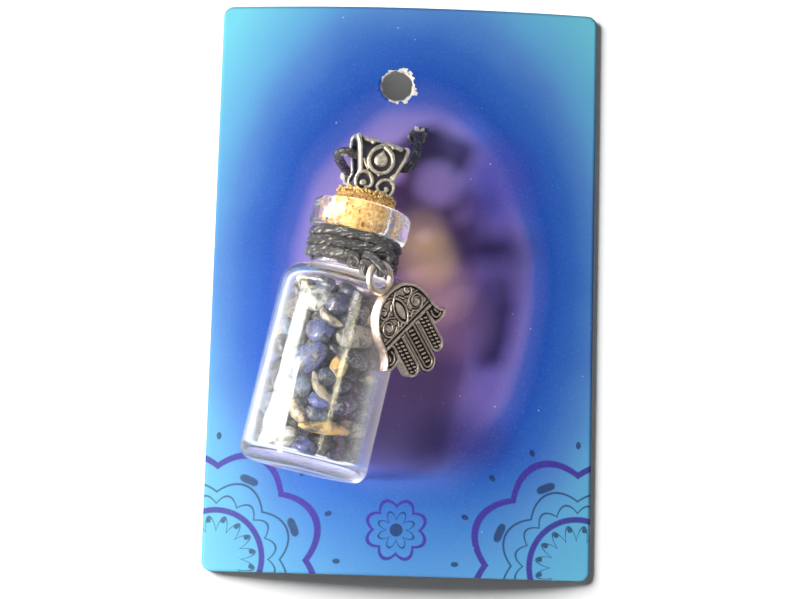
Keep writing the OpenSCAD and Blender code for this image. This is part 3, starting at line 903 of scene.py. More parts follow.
def add_crumbly(name, parts, node, material):
    """A piece of the stopper from a body and its grains."""
    add_piece(name, join_parts([(on_bottle(p), f) for p, f in parts]), node, [material])


def add_cork():
    """The stopper, its head rough and strewn with grains."""
    outline = [(r, cork_low) for r in (0, 1.5, 3, cork_r - 0.3)]
    outline += [(cork_r, z) for z in np.linspace(cork_low + 0.3, mouth_z, 26)]
    outline += [(r, mouth_z + 0.06) for r in np.linspace(cork_r, cork_head_r - 0.2, 3)]
    outline += arc(cork_head_r - cork_round, head_z - cork_round, cork_round, 0, 90, 14)
    outline += [(r, head_z) for r in np.linspace(cork_head_r - cork_round, 0, 14)]
    points, faces = lathe(outline, 120)
    rough = waves(points, 1.3, 21) * 0.5 + waves(points, 0.6, 22) * 0.35
    above = smooth_step((points[:, 2] - mouth_z) / 0.4)
    worn = np.maximum(rough, -0.2) * 0.16 * above + 0.02 * (1 + rough) * (1 - above)
    points = points - unit(points * [1, 1, 0], 0.01) * worn[:, None]
    points[:, 2] -= above * np.maximum(rough, 0) * 0.15 * (points[:, 2] > head_z - 0.6)
    grains = crumbs(70, 300, (3.9, 4.55), (mouth_z + 0.4, head_z - 0.15), (0.2, 0.42))
    add_crumbly("cork_stopper", [(points, faces)] + grains, "cork", cork_material())


def add_glue():
    """The lumpy collar of glue round the bail's foot, with grains over it and down its side."""
    low, high = bail_z - 0.02, bail_z + 0.46
    outline = [(r, low) for r in (0, 2, glue_r - 0.3)]
    outline += arc(glue_r - 0.42, low + 0.36, 0.36, -70, 60, 9)
    outline += [(r, high - 0.1 * (r / glue_r) ** 2) for r in np.linspace(glue_r - 0.75, 0, 40)]
    points, faces = lathe(outline, 150)
    lumps = waves(points, 1.5, 31) * 0.55 + waves(points, 0.55, 32) * 0.45
    edge = np.hypot(points[:, 0], points[:, 1]) / glue_r
    above = smooth_step((points[:, 2] - low) / 0.4)
    points[:, 2] -= above * (0.34 * (0.9 - lumps).clip(0, 1.6) * smooth_step(edge * 2))
    points[:, :2] *= (1 - 0.05 * (1 - lumps).clip(0, 2))[:, None]
    grains = crumbs(150, 500, (2.6, glue_r - 0.2), (bail_z + 0.05, bail_z + 0.28), (0.12, 0.26))
    grains += crumbs(260, 900, (glue_r - 0.25, glue_r - 0.05), (mouth_z + 0.1, bail_z + 0.05), (0.12, 0.26))
    heap = crumbs(40, 1400, (2.8, 4.2), (bail_z + 0.25, bail_z + 0.7), (0.2, 0.38))
    grains += [part for part in heap if part[0][:, 0].mean() < -2.2 or part[0][:, 1].mean() > 2.4]
    add_crumbly("glue_collar", [(points, faces)] + grains, "glue_bead", glue_material())


# Cast silver

def silver_material(name, low, high, dark, dull, bright, rough):
    """Antiqued silver: blackened hollows, worn bright on what stands proud, from low to high."""
    g = Graph(name, Metallic=1.0)
    patina = g.noise(0.5, 3, 0.6)
    fine = g.noise(0.09, 2, 0.6)
    shown = (g.tone("polish") + (patina - 0.5) * 0.3).between(low, high)
    tint = g.mix(patina.between(0.3, 0.7), dull, bright)
    g.set(Base_Color=g.mix(shown, dark, tint), Roughness=0.55 - shown * (0.55 - rough) + (fine - 0.5) * 0.1)
    g.bump(fine + patina, 0.035)
    return g.material


def crown(distance, half):
    """Height of a rounded line at a distance from its middle."""
    return np.sqrt(np.clip(1 - (distance / half) ** 2, 0, 1))


def worn_crown(distance, half):
    """The same line rubbed nearly flat on top."""
    round_top = crown(distance, half)
    return np.minimum(1.3 * round_top, 0.75 + 0.25 * round_top)


# half the palm's outline from its top, as shares of charm_half and charm_h
palm_half = (bezier((0, 0), (0.36, 0), (0.74, 0.1), (0.79, 0.42), 22)
             + bezier((0.79, 0.42), (0.82, 0.52), (0.9, 0.58), (1, 0.6), 8)
             + bezier((1, 0.6), (0.96, 0.67), (0.74, 0.68), (0.56, 0.64), 10)
             + [[0.56, 0.64], [0.5, 0.5]])
palm = [[x * charm_half, dome_y - y * charm_h] for x, y in palm_half]
palm = palm + mirrored(palm[:0:-1])


def finger(x, y, across, tip, half):
    """Signed distance to a finger with a round end."""
    up = tip + half
    return np.where(y < up, np.hypot(x - across, y - up), np.abs(x - across)) - half


def hand(x, y):
    """Signed distance to the whole hand."""
    d = distance_to_shape(x, y, palm)
    for across, tip, half in finger_places:
        d = np.where(y < band_y, np.minimum(d, finger(x, y, across, tip, half)), d)
    return d


def bars(x, y, across, first, last, pitch, slant, long):
    """Height of a ladder of short slanted bars."""
    a = np.radians(slant)
    row = np.clip(np.round((first - y) / pitch), 0, round((first - last) / pitch))
    dx = x - across
    dy = y - (first - row * pitch)
    along = dx * np.cos(a) + dy * np.sin(a)
    off = dy * np.cos(a) - dx * np.sin(a)
    return crown(np.hypot(np.maximum(np.abs(along) - long / 2, 0), off), 0.2)


def palm_lines():
    """The raised lines of the palm: points and half width of each."""
    big = spiral((3.35, -6.75), 1.5, 0.42, -150, 500, 44)
    small = spiral((2.85, -4.35), 1.0, 0.3, 215, 440, 36)
    thumb = curve_through([[4.9, -9.95], [4.85, -10.7], [5.25, -11.3], [5.95, -11.45], [6.5, -11.2]], 6)
    lines = [
        ([[0.7, -7.5], [1.2, -8.0]] + big, 0.17),
        ([[1.0, -4.2], [1.5, -4.9]] + small, 0.16),
        ([[1.5, -6.2], [2.4, -5.55], [3.6, -5.35], [4.5, -5.6]], 0.13),
        ([[1.3, -7.1], [1.75, -7.9], [2.6, -8.3]], 0.13),
        ([[4.1, -4.0], [4.7, -4.9], [5.15, -6.2]], 0.13),
        ([[0.1, -3.6], [0.8, -3.15], [1.7, -3.05]], 0.13),
        (thumb.tolist(), 0.17),
        ([[5.75, -10.0], [5.7, -10.6], [5.95, -10.85]], 0.17),
    ]
    return lines + [(mirrored(line), half) for line, half in lines]


def palm_height(x, y, edge):
    """Height of the palm's pattern: a border, curls, a lens and a swelling ground between them."""
    groove = 0.62
    lens_across, lens_up, lens_r = 1.75, -6.05, 2.9
    border = crown(edge + 0.24, 0.3)
    h = np.where((y > band_y - 0.55) | (np.abs(x) > side_x + side_half - 0.1), border, 0)
    h = np.maximum(h, np.where(np.abs(x) < 6.2, crown(y - band_y - 0.02, 0.32), 0))
    h = np.maximum(h, np.where((np.abs(x) < 5.3) & (y > band_y), crown(y - band_y - 0.78, 0.15), 0))
    ground = np.minimum(-edge - groove, y - band_y - 0.95)
    for line, half in palm_lines():
        away = distance_to_line(x, y, line)
        h = np.maximum(h, crown(away, half))
        ground = np.minimum(ground, away - half)
    h *= smooth_step((np.abs(edge + groove) - 0.03) / 0.1)
    h = np.where(edge > -0.54, np.maximum(h, border), h)
    lens = np.hypot(np.abs(x) + lens_across, y - lens_up) - lens_r
    ground = np.minimum(ground, lens - 0.2)
    h = np.maximum(h, charm_ground * smooth_step((ground - 0.05) / 0.13))
    h = np.where(lens < 0.18, crown(lens, 0.2), h)
    h = np.where(lens < -0.45, smooth_step((-0.45 - lens) / 0.1) * 0.85, h)
    for side in (-1, 1):
        for across, up, r in ((3.35, -6.95, 0.62), (2.75, -4.5, 0.36)):
            boss = np.hypot(x - side * across, y - up) - r
            h = np.maximum(h, smooth_step(-boss / 0.12) * 0.72)
    return h


def charm_relief_at(x, y, edge):
    """Height of the charm's cast pattern, from 0 in the hollows to 1."""
    h = palm_height(x, y, edge)
    fingers = np.zeros(np.shape(x))
    for side in (-1, 1):
        d = finger(x, y, side * side_x, side_tip, side_half)
        fingers = np.maximum(fingers, np.where(d < 0.05, crown(d + 0.26, 0.2), 0))
        for column in (-1, 1):
            grain = bars(x, y, side * side_x + column * 0.41, band_y - 0.75 - 0.18 * column, side_tip + 0.95,
                         0.66, -35, 0.3)
            fingers = np.maximum(fingers, np.where(d < -0.5, grain, 0))
    d = finger(x, y, 0, mid_tip, mid_half)
    middle = np.maximum(crown(d + 0.3, 0.19), crown(d + 0.84, 0.17))
    rungs = bars(x, y, 0, band_y - 0.75, mid_tip + 1.55, 0.72, -20, 0.62)
    middle = np.where(d < -1.02, rungs * (d < -1.08), middle)
    fingers = np.where(d < 0, middle, fingers)
    on_finger = (y < band_y - 0.3) & ((fingers > 0) | (d < 0))
    return np.where(on_finger, np.maximum(fingers, h * (d >= 0)), h)


def charm_plate_shape():
    """The cast hand: a sheet with its relief, a rounded wall and a flat back. Also gives its polish."""
    margin = 0.3
    low, high = (-charm_half - margin, mid_tip - margin), (charm_half + margin, dome_y + margin)
    flat, faces, rim = cut_sheet(hand, low, high, 0.06)
    x, y = flat.T
    edge = hand(x, y)
    relief = charm_relief_at(x, y, edge)
    lumps = waves(points_of(x, y, 0), 0.9, 41)
    top = charm_plate + charm_relief * relief * (0.93 + 0.05 * lumps) - 0.02
    top -= 0.22 * smooth_step((edge + 0.22) / 0.22) ** 2
    on_rim, rim_places = np.unique(rim, return_inverse=True)
    a, b = rim_places.reshape(rim.shape).T
    count = len(on_rim)
    out = unit(np.stack(slope(hand, x[on_rim], y[on_rim], 0.02), 1), 1e-6)
    points = [np.column_stack([flat, top])]
    tones = [relief]
    polygons = faces.tolist()
    above = on_rim
    for k, (share, inset) in enumerate(((0.75, 0.0), (0.4, 0.0), (0.16, 0.02), (0.05, 0.08), (0.0, 0.18))):
        points.append(np.column_stack([flat[on_rim] - out * inset, top[on_rim] * share]))
        tones.append(np.full(count, 0.9 - 0.5 * inset))
        below = len(flat) + k * count + np.arange(count)
        polygons += np.stack([above[b], above[a], below[a], below[b]], 1).tolist()
        above = below
    after = dict(zip(a.tolist(), b.tolist()))
    loop = [0]
    while after[loop[-1]] != 0:
        loop.append(after[loop[-1]])
    polygons.append([int(above[k]) for k in loop[::-1]])
    return np.concatenate(points), polygons, np.concatenate(tones)


def ring_shape():
    """The charm's ring, a little uneven."""
    sides, steps = 28, 120
    t = full_turn(sides)[:, None]
    turn = full_turn(steps)
    r = ring_r + ring_wire / 2 * np.cos(t)
    wire = points_of(r * np.cos(turn), r * np.sin(turn), ring_wire / 2 * np.sin(t))
    wire *= (1 - 0.012 * (1 + waves(wire, 1.6, 43)))[:, None]
    wire[:, 2] += (charm_plate + charm_relief) / 2
    return wire, grid_faces(sides, steps, True, True)


def add_charm():
    """The cast hand and its ring."""
    plate, plate_faces, tones = charm_plate_shape()
    ring = ring_shape()
    points, faces = join_parts([(plate, plate_faces), ring])
    tones = np.concatenate([tones, np.full(len(ring[0]), 0.85)])
    silver = silver_material("charm_silver", 0.26, 0.8, (0.06, 0.045, 0.042), (0.52, 0.43, 0.36),
                             (0.76, 0.64, 0.53), 0.38)
    add_piece("hand_charm", (on_ring(points), faces), "hamsa_charm", [silver], {"polish": tones})


def bail_width(z):
    """Half the bail's width at a height above its foot."""
    round_part = bail_foot_r + np.sqrt(np.clip(bail_foot_r ** 2 - (z - bail_foot_r) ** 2, 0, None))
    straight = np.interp(z, [0, 0.3 * bail_h, 0.93 * bail_h, bail_h], [bail_foot_r, 2.8, 4.4, 4.15])
    return np.where(z < 2 * bail_foot_r, np.maximum(round_part, straight), straight)


def drop_line(r, low, apex, steps=30):
    """A drop: a circle below that runs up to a point."""
    spread = np.degrees(np.arccos(r / (apex - low)))
    round_part = arc(0, low, r, 90 - spread, 90 + spread - 360, steps)
    return round_part + [(0, apex), round_part[0]]


def bail_lines():
    """The raised lines of the bail: points, half width and height of each."""
    left = [[-3.4, 1.9], [-2.65, 2.85], [-1.8, 3.1], [-1.0, 2.8], [-0.52, 2.1], [-0.62, 1.25], [-1.25, 0.8]]
    right = [[2.9, 2.3], [2.1, 2.85], [1.1, 2.6], [0.5, 1.9], [0.5, 1.2], [1.0, 0.75], [1.7, 0.85],
             [2.15, 1.4]]
    return (
        (drop_line(1.95, 5.4, 7.75), 0.36, 1.0),
        (curve_through(left, 6).tolist(), 0.34, 1.0),
        (curve_through(right, 6).tolist(), 0.31, 1.0),
        ([[-3.0, 8.1], [-1.9, 8.0], [-0.75, 8.45]], 0.36, 0.85),
        ([[0.55, 8.5], [1.6, 8.1], [2.9, 8.0]], 0.36, 0.85),
        ([[-2.65, 4.9], [-2.2, 4.2], [-1.6, 3.6]], 0.2, 0.7),
        ([[2.35, 3.4], [2.75, 3.9]], 0.3, 0.8),
    )


bail_beads = (
    # across, up, radius
    (-1.85, 1.4, 0.62), (1.9, 1.45, 0.42), (-1.7, 7.85, 0.36), (1.55, 7.85, 0.34), (2.4, 8.05, 0.36),
    (-0.3, 0.4, 0.25), (0.25, 3.1, 0.2), (2.1, 0.7, 0.22),
)


def bail_pattern(x, z):
    """Height of the bail's cast pattern, from 0 in the hollows to about 1."""
    edge = bail_width(z) - np.abs(x)
    h = np.where(z > 2.9, worn_crown(edge - 0.3, 0.33), worn_crown(edge - 0.24, 0.28) * 0.9)
    for line, half, top in bail_lines():
        h = np.maximum(h, top * worn_crown(distance_to_line(x, z, line), half))
    for across, up, r in bail_beads:
        h = np.maximum(h, worn_crown(np.hypot(x - across, z - up), r))
    drop = distance_to_shape(x, z, drop_line(1.12, 5.4, 7.1)[:-1])
    boss = np.sqrt(np.clip(1 - (1 + drop / 0.5).clip(0, 1) ** 2, 0, 1)) * 0.95
    return np.maximum(h, np.where(drop < 0, boss, 0))


def bail_loop(grow, low, count):
    """The bail seen from its side: from the middle of its foot round by the front."""
    reach = foot_half + (bail_half - foot_half) * low / bail_bend + grow
    route = [(0, low), (-reach, low), (-bail_half - grow, bail_bend)]
    route += arc(0, bail_bend, bail_half + grow, 180, 0, 60)[1:]
    route += [(reach, low)]
    route = even_route(np.array(route, float), 0.01, True)
    return route[(np.linspace(0, 1, count, endpoint=False) * len(route)).astype(int)]


def bail_notch(x, z, depth, top):
    """How far the middle of the bail's top edge dips."""
    return np.clip(1 - np.abs(x) / 0.95, 0, 1) * depth * smooth_step((z - top) / 0.9)


def add_bail():
    """The cast bail: a strap with its relief outside and a plain inside, and the peg in the cork."""
    rows, columns, few, peg_sides = 300, 150, 24, 32
    outside = bail_loop(0, 0, rows)
    inside = bail_loop(-bail_wall, bail_floor, rows)
    ahead = np.roll(outside, -2, 0) - np.roll(outside, 2, 0)
    normal = unit(np.stack([-ahead[:, 1], ahead[:, 0]], 1))
    normal *= np.sign(((outside - [0, bail_h / 2]) * normal).sum(1))[:, None]
    z = np.repeat(outside[:, 1:2], columns, 1)
    x = bail_width(z) * np.linspace(-1, 1, columns)
    on_face = smooth_step((np.abs(outside[:, 0:1]) - 0.15) / 0.5) + 0 * x
    h = bail_pattern(x, z) * np.maximum(on_face, z > 6)
    lumps = waves(points_of(x, z, 0), 0.9, 51).reshape(x.shape)
    grow = bail_relief * h * (0.95 + 0.05 * lumps) - 0.03 - 0.12 * (1 - h) * smooth_step((z - 0.5) / 0.5)
    y = outside[:, 0:1] + normal[:, 0:1] * grow
    up = z + normal[:, 1:2] * grow * (z > 0.2)
    up = np.minimum(up - bail_notch(x, z, 0.2, 7.6), bail_h)
    outer = points_of(x, y, up)
    z = np.repeat(inside[:, 1:2], few, 1)
    x = bail_width(z) * np.linspace(-1, 1, few)
    inner = points_of(x, inside[:, 0:1], z - bail_notch(x, z, 0.12, 7))
    n = rows * columns
    i = np.arange(rows)
    j = (i + 1) % rows
    last, last_in = columns - 1, few - 1
    faces = np.concatenate([
        grid_faces(rows, columns, close_rows=True),
        grid_faces(rows, few, close_rows=True)[:, ::-1] + n,
        np.stack([i * columns, j * columns, n + j * few, n + i * few], 1),
        np.stack([j * columns + last, i * columns + last, n + i * few + last_in, n + j * few + last_in], 1)])
    turn = full_turn(peg_sides)
    peg = np.concatenate([around(peg_r, turn, level) for level in peg_levels])
    peg += [-bail_right, bail_forward, 0]
    peg_faces = grid_faces(2, peg_sides, close_columns=True).tolist()
    peg_faces += [list(range(peg_sides))[::-1], list(range(peg_sides, 2 * peg_sides))]
    points, faces = join_parts([(np.concatenate([outer, inner]), faces), (peg, peg_faces)])
    tones = np.concatenate([h.ravel(), np.full(len(inner), 0.12), np.full(len(peg), 0.5)])
    silver = silver_material("bail_silver", 0.15, 0.6, (0.07, 0.068, 0.085), (0.55, 0.48, 0.37),
                             (0.82, 0.74, 0.58), 0.4)
    add_piece("cast_bail", (on_cork(points), faces), "bail", [silver],
              {"polish": np.clip(tones, 0, 1)})


# Stones

tints = {"deep": (0.010, 0.014, 0.050), "blue": (0.028, 0.040, 0.150), "bright": (0.060, 0.080, 0.230),
         "slate": (0.055, 0.075, 0.120), "grey": (0.100, 0.130, 0.190), "olive": (0.10, 0.095, 0.065),
         "cream": (0.46, 0.38, 0.21), "pale": (0.44, 0.45, 0.40), "gold": (0.42, 0.27, 0.07),
         "beige": (0.26, 0.22, 0.14), "black": (0.006, 0.006, 0.012), "umber": (0.025, 0.020, 0.018),
         "moss": (0.19, 0.18, 0.14)}
# tints of the chips that aren't placed one by one, the common ones named more than once
strewn = ("deep", "deep", "black", "blue", "slate", "umber", "grey", "deep", "grey", "black", "olive",
          "beige")
front_chips = (
    # degrees round from the front, height, length, width, thickness, tilt, bend, tint
    (-26, 25.1, 4.6, 3.9, 2.4, 40, 0.0, "pale"),
    (-46, 27.0, 3.4, 1.9, 1.8, -35, 0.0, "cream"),
    (-19, 27.3, 3.2, 2.1, 1.8, -10, 0.0, "slate"),
    (0, 24.8, 3.9, 3.2, 2.2, 20, 0.0, "deep"),
    (-4, 22.6, 4.4, 1.6, 1.5, -33, 0.35, "beige"),
    (-12, 20.3, 4.2, 4.0, 2.4, 15, 0.0, "blue"),
    (30, 20.7, 6.2, 3.5, 2.6, 8, 0.0, "moss"),
    (-22, 15.9, 7.0, 3.9, 2.6, 38, 0.0, "bright"),
    (17, 15.7, 3.4, 2.5, 2.0, 80, 0.0, "gold"),
    (7, 13.6, 3.4, 2.6, 2.0, 60, 0.0, "slate"),
    (6, 12.0, 5.6, 1.7, 1.6, -42, 0.45, "beige"),
    (-18, 11.6, 3.4, 3.0, 2.2, 70, 0.0, "grey"),
    (8, 10.3, 3.6, 2.8, 2.2, -10, 0.0, "bright"),
    (6, 8.4, 3.4, 2.3, 2.0, -5, 0.0, "slate"),
    (-14, 8.2, 4.8, 2.2, 2.0, -52, 0.2, "cream"),
    (18, 6.6, 7.4, 2.2, 2.0, 4, 0.0, "gold"),
    (-22, 3.9, 3.6, 2.8, 2.2, 40, 0.0, "pale"),
    (2, 2.9, 3.8, 2.6, 2.2, -30, 0.0, "blue"),
    (42, 3.2, 3.8, 2.4, 2.2, 10, 0.0, "deep"),
    (48, 24.3, 3.6, 1.8, 1.8, 80, 0.1, "beige"),
    (38, 17.3, 4.4, 3.0, 2.4, -20, 0.0, "black"),
    (36, 10.6, 4.4, 3.2, 2.6, 30, 0.0, "deep"),
)
fine_chips = 12
chip_count = 224
chip_low = glass_base + 0.15
chip_high = 28.7
# how the chips settle: steps, how near two have to be to be compared, the share of an overlap and of a
# held chip's shift that a step takes back, the way they sink, and their gap to the glass
settle_steps = 240
settle_reach = 7
settle_push = 0.3
settle_home = 0.3
settle_sink = (0, 0.004, -0.004)
settle_gap = 0.08


def room(z):
    """Radius inside the bottle at a height."""
    over = np.clip(np.asarray(z) - (body_len - glass_wall - inner_shoulder), 0, inner_shoulder)
    return inner_r - inner_shoulder + np.sqrt(inner_shoulder ** 2 - over ** 2)


def settle(place, turn, half, held):
    """Pushes overlapping chips apart inside the bottle; each chip is a flat cluster of five balls.

    The held ones keep their turn and are drawn back to their place.
    """
    r = half[:, 2]
    reach = half - r[:, None]
    shape = np.zeros((len(half), 5, 3))
    shape[:, 1, 0] = reach[:, 0]
    shape[:, 2, 0] = -reach[:, 0]
    shape[:, 3, 1] = reach[:, 1]
    shape[:, 4, 1] = -reach[:, 1]
    home, first = place[held].copy(), turn.copy()
    points = place[:, None] + np.einsum("nij,nkj->nki", turn, shape)
    for step in range(settle_steps):
        if step % 8 == 0:
            apart = np.linalg.norm(place[:, None] - place[None], axis=2)
            i, j = np.nonzero(np.triu(apart < settle_reach, 1))
        d = points[i][:, :, None] - points[j][:, None]
        size = np.linalg.norm(d, axis=3) + 1e-6
        deep = np.clip((r[i] + r[j])[:, None, None] - size, 0, None)
        push = d * (deep / size * settle_push)[..., None]
        move = np.zeros_like(points)
        np.add.at(move, i, push.sum(2))
        np.add.at(move, j, -push.sum(1))
        points = points + move + settle_sink
        out = np.linalg.norm(points[..., :2], axis=2)
        space = room(points[..., 2] + 0.7 * r[:, None])
        wall = np.minimum(1, (space - settle_gap - r[:, None]) / np.maximum(out, 1e-6))
        points[..., :2] *= wall[..., None]
        points[..., 2] = np.clip(points[..., 2], chip_low + r[:, None], chip_high - r[:, None])
        place = points.mean(1)
        place[held] += settle_home * (home - place[held])
        match = np.einsum("nki,nkj->nij", points - points.mean(1)[:, None], shape)
        u, _, v = np.linalg.svd(match)
        flip = np.ones((len(half), 3))
        flip[:, 2] = np.sign(np.linalg.det(u) * np.linalg.det(v))
        turn = np.einsum("nij,nj,njk->nik", u, flip, v)
        turn[held] = first[held]
        points = place[:, None] + np.einsum("nij,nkj->nki", turn, shape)
    return place, turn


def pebble(ball, half, bend, worn, rng):
    """A tumbled chip: a ball with a few worn flats, stretched, bent and a little lumpy."""
    p = ball.copy()
    for _ in range(7):
        way = rng.normal(size=3)
        way /= np.linalg.norm(way)
        over = np.maximum(p @ way - rng.uniform(*worn), 0)
        p -= 0.85 * over[:, None] * way
    p *= 1.0 + 0.05 * waves(ball, 1.4, int(rng.integers(1000)), 8)[:, None]
    p = p / np.abs(p).max(0) * half
    p[:, 1] -= bend * half[1] * (p[:, 0] / half[0]) ** 2 * 2 - bend * half[1]
    return p


def strew_chips(rng):
    """Half sizes, places, turns, tints and bends of the chips, the first of them placed one by one."""
    half = np.sort(rng.uniform((0.95, 1.25, 1.6), (1.35, 1.95, 2.6), (chip_count, 3)), axis=1)[:, ::-1]
    r = inner_r * 0.86 * rng.uniform(0, 1, chip_count) ** 0.5
    a = rng.uniform(0, 2 * np.pi, chip_count)
    place = around(r, a, rng.uniform(chip_low + 1, chip_high - 1, chip_count))
    turn = np.linalg.qr(rng.normal(size=(chip_count, 3, 3)))[0]
    turn *= np.sign(np.linalg.det(turn))[:, None, None]
    names = [strewn[k] for k in rng.integers(len(strewn), size=chip_count)]
    bends = np.zeros(chip_count)
    for k, (degrees, z, long, wide, thick, tilt, bend, tint) in enumerate(front_chips):
        half[k] = long / 2, wide / 2, thick / 2
        at = np.radians(degrees)
        place[k] = around(inner_r - 0.1 - thick / 2, at, z)
        lean = np.radians(tilt)
        across = np.array([np.cos(at), np.sin(at), 0])
        along = np.cos(lean) * across + np.sin(lean) * np.array([0, 0, 1.0])
        side = np.cross([-np.sin(at), np.cos(at), 0], along)
        turn[k] = np.stack([along, side, np.cross(along, side)], 1)
        names[k] = tint
        bends[k] = bend
    return half, place, turn, names, bends


def add_stones():
    """The chips in the bottle, finer at the front where they are seen."""
    rng = np.random.default_rng(8)
    n = len(front_chips)
    half, place, turn, names, bends = strew_chips(rng)
    place, turn = settle(place, turn, half, np.arange(n))
    fine, coarse, plain = [ico_ball(level) for level in (4, 3, 2)]
    parts = []
    colours = []
    for k in range(chip_count):
        shown = k < n or np.hypot(place[k, 0], place[k, 1]) > 5.2 or place[k, 2] < 4
        ball, faces = fine if k < fine_chips else coarse if shown else plain
        worn = (0.78, 0.95) if k < n else (0.62, 0.85)
        shape = pebble(ball, half[k] * 1.04, bends[k], worn, rng) @ turn[k].T + place[k]
        out = np.hypot(shape[:, 0], shape[:, 1])
        shape[:, 2] = np.clip(shape[:, 2], glass_base + 0.05, chip_high + 0.3)
        shape[:, :2] *= np.minimum(1, (room(shape[:, 2]) - 0.04) / np.maximum(out, 1e-6))[:, None]
        parts.append((shape, faces))
        tint = np.array(tints[names[k]]) * rng.uniform(0.8, 1.3)
        colours.append(np.tile(tint, (len(ball), 1)))
    points, faces = join_parts(parts)
    add_piece("lapis_chips", (on_bottle(points), faces), "stones", [stone_material()],
              {"tint": np.concatenate(colours)})


def stone_material():
    """Tumbled lapis and its matrix: mottled, veined in cream, with small gold flecks."""
    g = Graph("lapis", Roughness=0.3, Coat_Weight=0.5, Coat_Roughness=0.12)
    cloud = g.noise(1.5, 4, 0.65)
    grain = g.noise(0.42, 3, 0.7)
    vein = 1 - abs(g.noise(1.6, 3, 0.6, stretch=1.2) - 0.5).between(0.0, 0.035)
    shade = g.mix(cloud.between(0.47, 0.55) * 0.85, g.tone("tint", "Color"), (0.004, 0.005, 0.014))
    shade = g.mix(grain.between(0.52, 0.64) * 0.5, shade, (0.24, 0.28, 0.42))
    shade = g.mix(vein * cloud.between(0.45, 0.6) * 0.6, shade, (0.42, 0.39, 0.32))
    fleck = (1 - g.cells(0.55).between(0.1, 0.16)) * g.noise(1.3, 1).between(0.55, 0.62)
    g.set(Base_Color=g.mix(fleck, shade, (0.75, 0.52, 0.20)), Metallic=fleck * 0.8)
    g.bump(grain + cloud, 0.12)
    return g.material


# Stage and light

floor_half = 12000.0
# the key stands key_far from its aim; the wash is a sun that only the floor shows; a glow's lamp stands
# glow_right of its spot and glow_up over the surface
sky_colour = (0.88, 0.93, 1.0, 1)
sky_strength = 0.11
key_aim = np.array([2, -5, 20])
key_towards = np.array([-0.97, -0.28, 1.0])
key_far = 420
key_size = (60, 60)
key_watts = 2.35
key_colour = (1.0, 0.94, 0.84)
wash_strength = 12.5
wash_spread = 32
wash_way = (1500, -840, -510)
glow_right = 60
glow_up = 170.0
left_wall, right_wall = (-12, -10, 15), (-3, -17, 21)
silver = ("cast_bail", "hand_charm")
glass = ("glass_bottle",)
every = ("diffuse", "glossy", "transmission")
gleams = (
    # name, place, aim, size, brightness, colour, pieces lit; they show as reflections only
    ("silver_left", (-300, 30, 100), left_wall, (70, 260), 58, (1.0, 0.99, 0.96), silver),
    ("silver_sky", (40, 60, 600), (0, 0, 0), (900, 900), 1.15, (0.96, 0.96, 1.0), silver),
    ("glass_sky", (40, 60, 600), (0, 0, 0), (900, 900), 0.7, (0.78, 0.80, 1.0), glass),
    ("streak_a", (-300, 96, 110), left_wall, (70, 13), 12, (1.0, 1.0, 0.97), glass),
    ("streak_b", (-300, 87, 145), left_wall, (165, 15), 24, (1.0, 1.0, 0.97), glass),
    ("streak_c", (-300, 74, 130), left_wall, (150, 17), 14, (1.0, 1.0, 0.98), glass),
    ("streak_d", (-300, 56, 150), left_wall, (290, 24), 32, (1.0, 1.0, 0.97), glass),
    ("streak_haze", (-300, 72, 420), left_wall, (400, 80), 1.6, (0.9, 0.94, 1.0), glass),
    ("glint_a", (128, 6, 290), right_wall, (55, 6), 26, (1.0, 0.93, 0.86), glass),
    ("glint_b", (160, -18, 290), right_wall, (50, 19), 16, (1.0, 0.93, 0.60), glass),
    ("glint_c", (120, -34, 290), right_wall, (35, 12), 9, (1.0, 0.92, 0.60), glass),
    ("glint_d", (213, -49, 141), right_wall, (26, 22), 2, (0.9, 0.15, 0.8), glass),
    ("lip_glint", (-95, 44, 58), (-10, 9, 19), (110, 14), 18, (1.0, 0.97, 0.88), glass),
    ("shoulder_haze", (-60, 330, 330), (-8, 5, 16), (300, 200), 1.0, (1.0, 0.96, 1.0), glass),
)
fills = (
    # name, place, aim, size, watts, colour, rays that see it, pieces lit, pieces that alone shade it
    ("edge_glow", (230, 12, -50), (-5, -15, 12), (90, 90), 8.2, (1.0, 0.95, 0.96), ("diffuse",),
     glass, glass),
    ("soft_fill", (-90, -60, 330), (0, 10, 20), (120, 120), 0.55, (1.0, 0.98, 0.95), every,
     ("neck_cord", "tie_cord", "glue_collar"), ()),
    ("right_fill", (320, -90, 230), (-8, -10, 12), (160, 160), 0.6, (0.96, 0.97, 1.0), every,
     ("lapis_chips", "cork_stopper"), ()),
)
glows = (
    # place on the card, how far it spreads, watts, colour
    ((5.0, 16.5), 5.0, 0.66, (0.85, 0.88, 0.9)),
    ((9.0, 24.0), 5.0, 0.18, (0.80, 0.85, 1.0)),
    ((2.6, 8.6), 5.0, 0.50, (0.95, 1.0, 0.16)),
    ((3.4, 4.6), 6.0, 0.75, (0.93, 1.0, 0.12)),
    ((2.9, 7.9), 1.6, 0.30, (1.0, 1.0, 0.7)),
    ((5.6, -0.5), 7.0, 0.50, (1.0, 0.90, 0.25)),
    ((8.6, -5.5), 7.5, 0.30, (1.0, 0.72, 0.40)),
    ((15.0, 1.0), 5.0, 0.12, (1.0, 0.85, 0.8)),
)


def add_stage():
    """The pale floor that the card lies on."""
    mesh = bpy.data.meshes.new("floor")
    corners = [(x * floor_half * MM, y * floor_half * MM, 0) for x, y in ((-1, -1), (1, -1), (1, 1), (-1, 1))]
    mesh.from_pydata(corners, [], [(0, 1, 2, 3)])
    mesh.materials.append(Graph("floor", Base_Color=(0.95, 0.95, 0.95), Roughness=0.9,
                                Specular_IOR_Level=0.1).material)
    floor = bpy.data.objects.new("floor", mesh)
    bpy.context.scene.collection.objects.link(floor)
    floor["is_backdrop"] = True
    return floor


